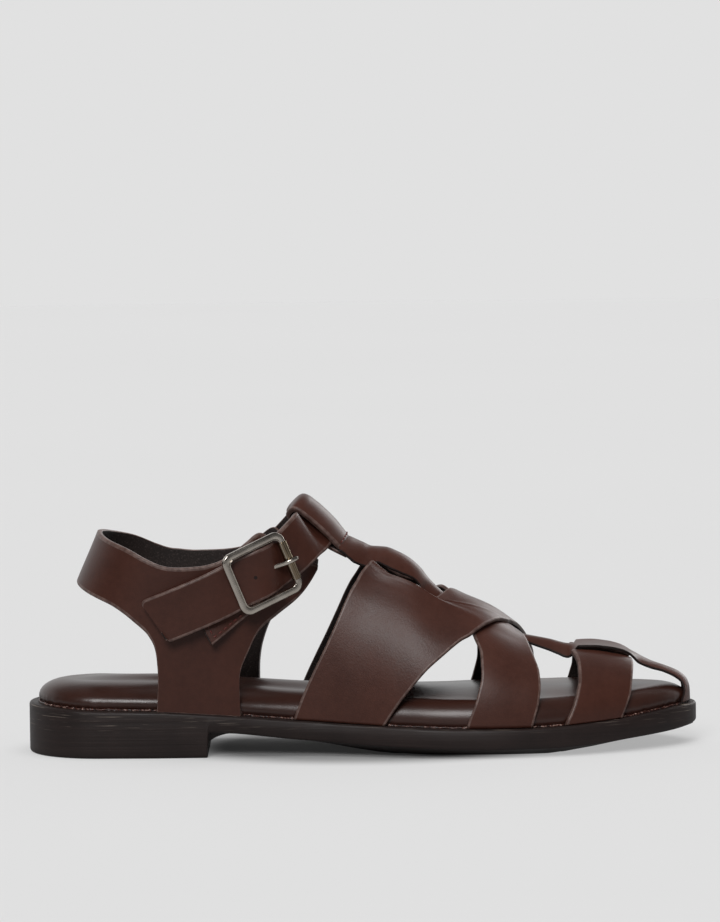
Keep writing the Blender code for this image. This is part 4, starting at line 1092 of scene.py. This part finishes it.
# The roller's sleeve is bent from sheet: rounded lips and a split along its length.
roller_turn = turns(72)
seam_dip = np.exp(-((roller_turn - math.radians(84)) / 0.08) ** 2)
lip, end = 0.35, ROLLER_LENGTH / 2
roller_half = np.array([(end, BAR_HALF + 0.3), (end, ROLLER_HALF - lip)]
                       + [(end - lip * (1 - math.cos(a)), ROLLER_HALF - lip * (1 - math.sin(a)))
                          for a in np.linspace(0, math.pi / 2, 5)[1:]])
profile = np.concatenate([roller_half, (roller_half * (-1, 1))[::-1], roller_half[:1]])
radius = profile[:, 1:] - 0.32 * seam_dip * (profile[:, 1:] > BAR_HALF + 0.35)
points = at_buckle(END_BARS + radius * np.cos(roller_turn), profile[:, :1] + 0 * roller_turn,
                   radius * np.sin(roller_turn))
roller = weld(make_mesh("roller_sleeve", points, grid_quads(len(profile), 72, True)[:, ::-1],
                        [darker_roller_plating]))
seat(roller, "buckle_metal", "buckle_roller")

# The prong is a wire bent round the centre bar, with its point on the roller.
PRONG = table(
    "u n",
    (-0.4, -2.7), (2, -2.85), (4, -2.7), (5.5, -2), (7.5, -0.4), (10, 1.5), (12.3, 2.8),
    (13.6, 3.05), (15.2, 2.8), (16.6, 2.1))
shank_u = np.linspace(-0.4, 16.6, 60)
shank_path = at_buckle(shank_u, 0.0, read(PRONG, "n", shank_u, "u"))
shank = tube("buckle_prong_shank", shank_path, W_AXIS, tapered(PRONG_HALF, 2, 60),
             tapered(PRONG_HALF + 0.05, 2, 60), power=2.6)
seat(shank, "buckle_metal", "buckle_prong")
ring_turn = turns(40)
ring = tube("buckle_prong_ring",
            at_buckle(2.0 * np.sin(ring_turn), 0.0, PIVOT_DEPTH + 2.0 * np.cos(ring_turn)),
            W_AXIS, PRONG_HALF, PRONG_HALF, closed=True, segments=16)
seat(ring, "buckle_metal")


# ---------------------------------------------------------------- studio
# A pale matt table top that runs out into a background of the same tone, lit by a
# wide soft light from above, a narrower one from the front left, and one from
# behind that shows only as a sheen on the leather.

TABLE_REACH = 4000.0
BACKGROUND = "#e1e1e1"
paper, tree, shader, place = new_material("matt_table_paper", Roughness=1.0,
                                          Specular_IOR_Level=0.0)
fibres = add(tree, "TexNoise", place, Scale=2.0)
dress(tree, shader, add(tree, "ValToRGB", fibres, stops=[(0.3, "#9c9c9c"), (0.7, "#9d9d9d")]))
# The paper glows a little, as if lit from below, except where the shoe stands, and
# less for the light it sheds than for the eye.
stretch = add(tree, "Mapping", place, Scale=(1 / 0.085, 1 / 0.06, 1.0))
away = add(tree, "VectorMath", stretch, operation="LENGTH")
glow = add(tree, "MapRange", away, From_Min=0.7, From_Max=1.15, To_Min=0.02, To_Max=0.40,
           interpolation_type="SMOOTHSTEP")
eye = add(tree, "MapRange", add(tree, "LightPath"), To_Min=0.25)
shine = add(tree, "Math", glow, eye, operation="MULTIPLY")
connect(shader, Emission_Strength=shine, Emission_Color=linear("#ffffff"))
turn = turns(96)
reach = np.array([0.0, 500.0, TABLE_REACH])[:, None]
points = np.stack([MIDDLE[0] + reach * np.cos(turn), MIDDLE[1] + reach * np.sin(turn),
                   np.zeros((3, 96))], -1)
table_top = weld(make_mesh("table_top", points, grid_quads(3, 96, True), [paper]))

world = bpy.data.worlds.new("studio_light")
bpy.context.scene.world = world
world.use_nodes = True
tree = world.node_tree
backdrop = add(tree, "Background", linear(BACKGROUND))
side = add(tree, "SeparateXYZ", add(tree, "TexCoord"))
bright = add(tree, "MapRange", side.outputs["Y"], From_Min=-0.15, From_Max=0.55, To_Min=0.12)
dim = add(tree, "MapRange", side.outputs["Z"], From_Min=0.48, From_Max=0.7, To_Min=1.0,
          To_Max=0.3, interpolation_type="SMOOTHSTEP")
level_light = add(tree, "Math", bright, dim, operation="MULTIPLY")
room = add(tree, "Background", linear(BACKGROUND), level_light)
choice = add(tree, "MixShader", add(tree, "LightPath"), room, backdrop)
connect(tree.nodes["World Output"], Surface=choice)


def soft_light(name, direction, spread, strength, diffuse=True, glossy=True):
    """Parallel light from a direction, as soft as a round lamp that is so many
    degrees across; it may be kept out of matt surfaces or out of reflections."""
    data = bpy.data.lights.new(name, "SUN")
    data.angle, data.energy = math.radians(spread), strength
    lamp = bpy.data.objects.new(name, data)
    lamp.visible_diffuse, lamp.visible_glossy = diffuse, glossy
    bpy.context.scene.collection.objects.link(lamp)
    lamp.matrix_world = Vector(direction).to_track_quat("Z", "Y").to_matrix().to_4x4()


soft_light("overhead_light", (0.10, -0.10, 1.0), 60.0, 1.7, glossy=False)
soft_light("front_light", (-0.19, -0.80, 0.56), 24.0, 1.7)
soft_light("back_light", (0.50, 0.80, 0.33), 30.0, 0.6, diffuse=False)

# A long lens looks at the lateral side from a little above, rolled by a trace.
SIGHT, TARGET, ROLL = np.array([144.85, -2200.0, 300.0]), np.array([144.85, 0.0, 124.4]), 0.65
ahead = unit(TARGET - SIGHT)
level = unit(np.cross(ahead, (0, 0, 1)))
above = np.cross(level, ahead)
c, s = math.cos(math.radians(ROLL)), math.sin(math.radians(ROLL))
right, up = c * level - s * above, s * level + c * above
camera_data = bpy.data.cameras.new("camera")
camera_data.sensor_fit, camera_data.sensor_width = "AUTO", 36.0
camera_data.lens, camera_data.clip_start = 198.87, 0.1
camera = bpy.data.objects.new("camera", camera_data)
bpy.context.scene.collection.objects.link(camera)
axes = Matrix((right, up, -ahead)).transposed().to_4x4()
camera.matrix_world = Matrix.Translation(Vector((SIGHT - MIDDLE) * MM)) @ axes
bpy.context.scene.camera = camera
bpy.context.scene.view_settings.view_transform = "Standard"
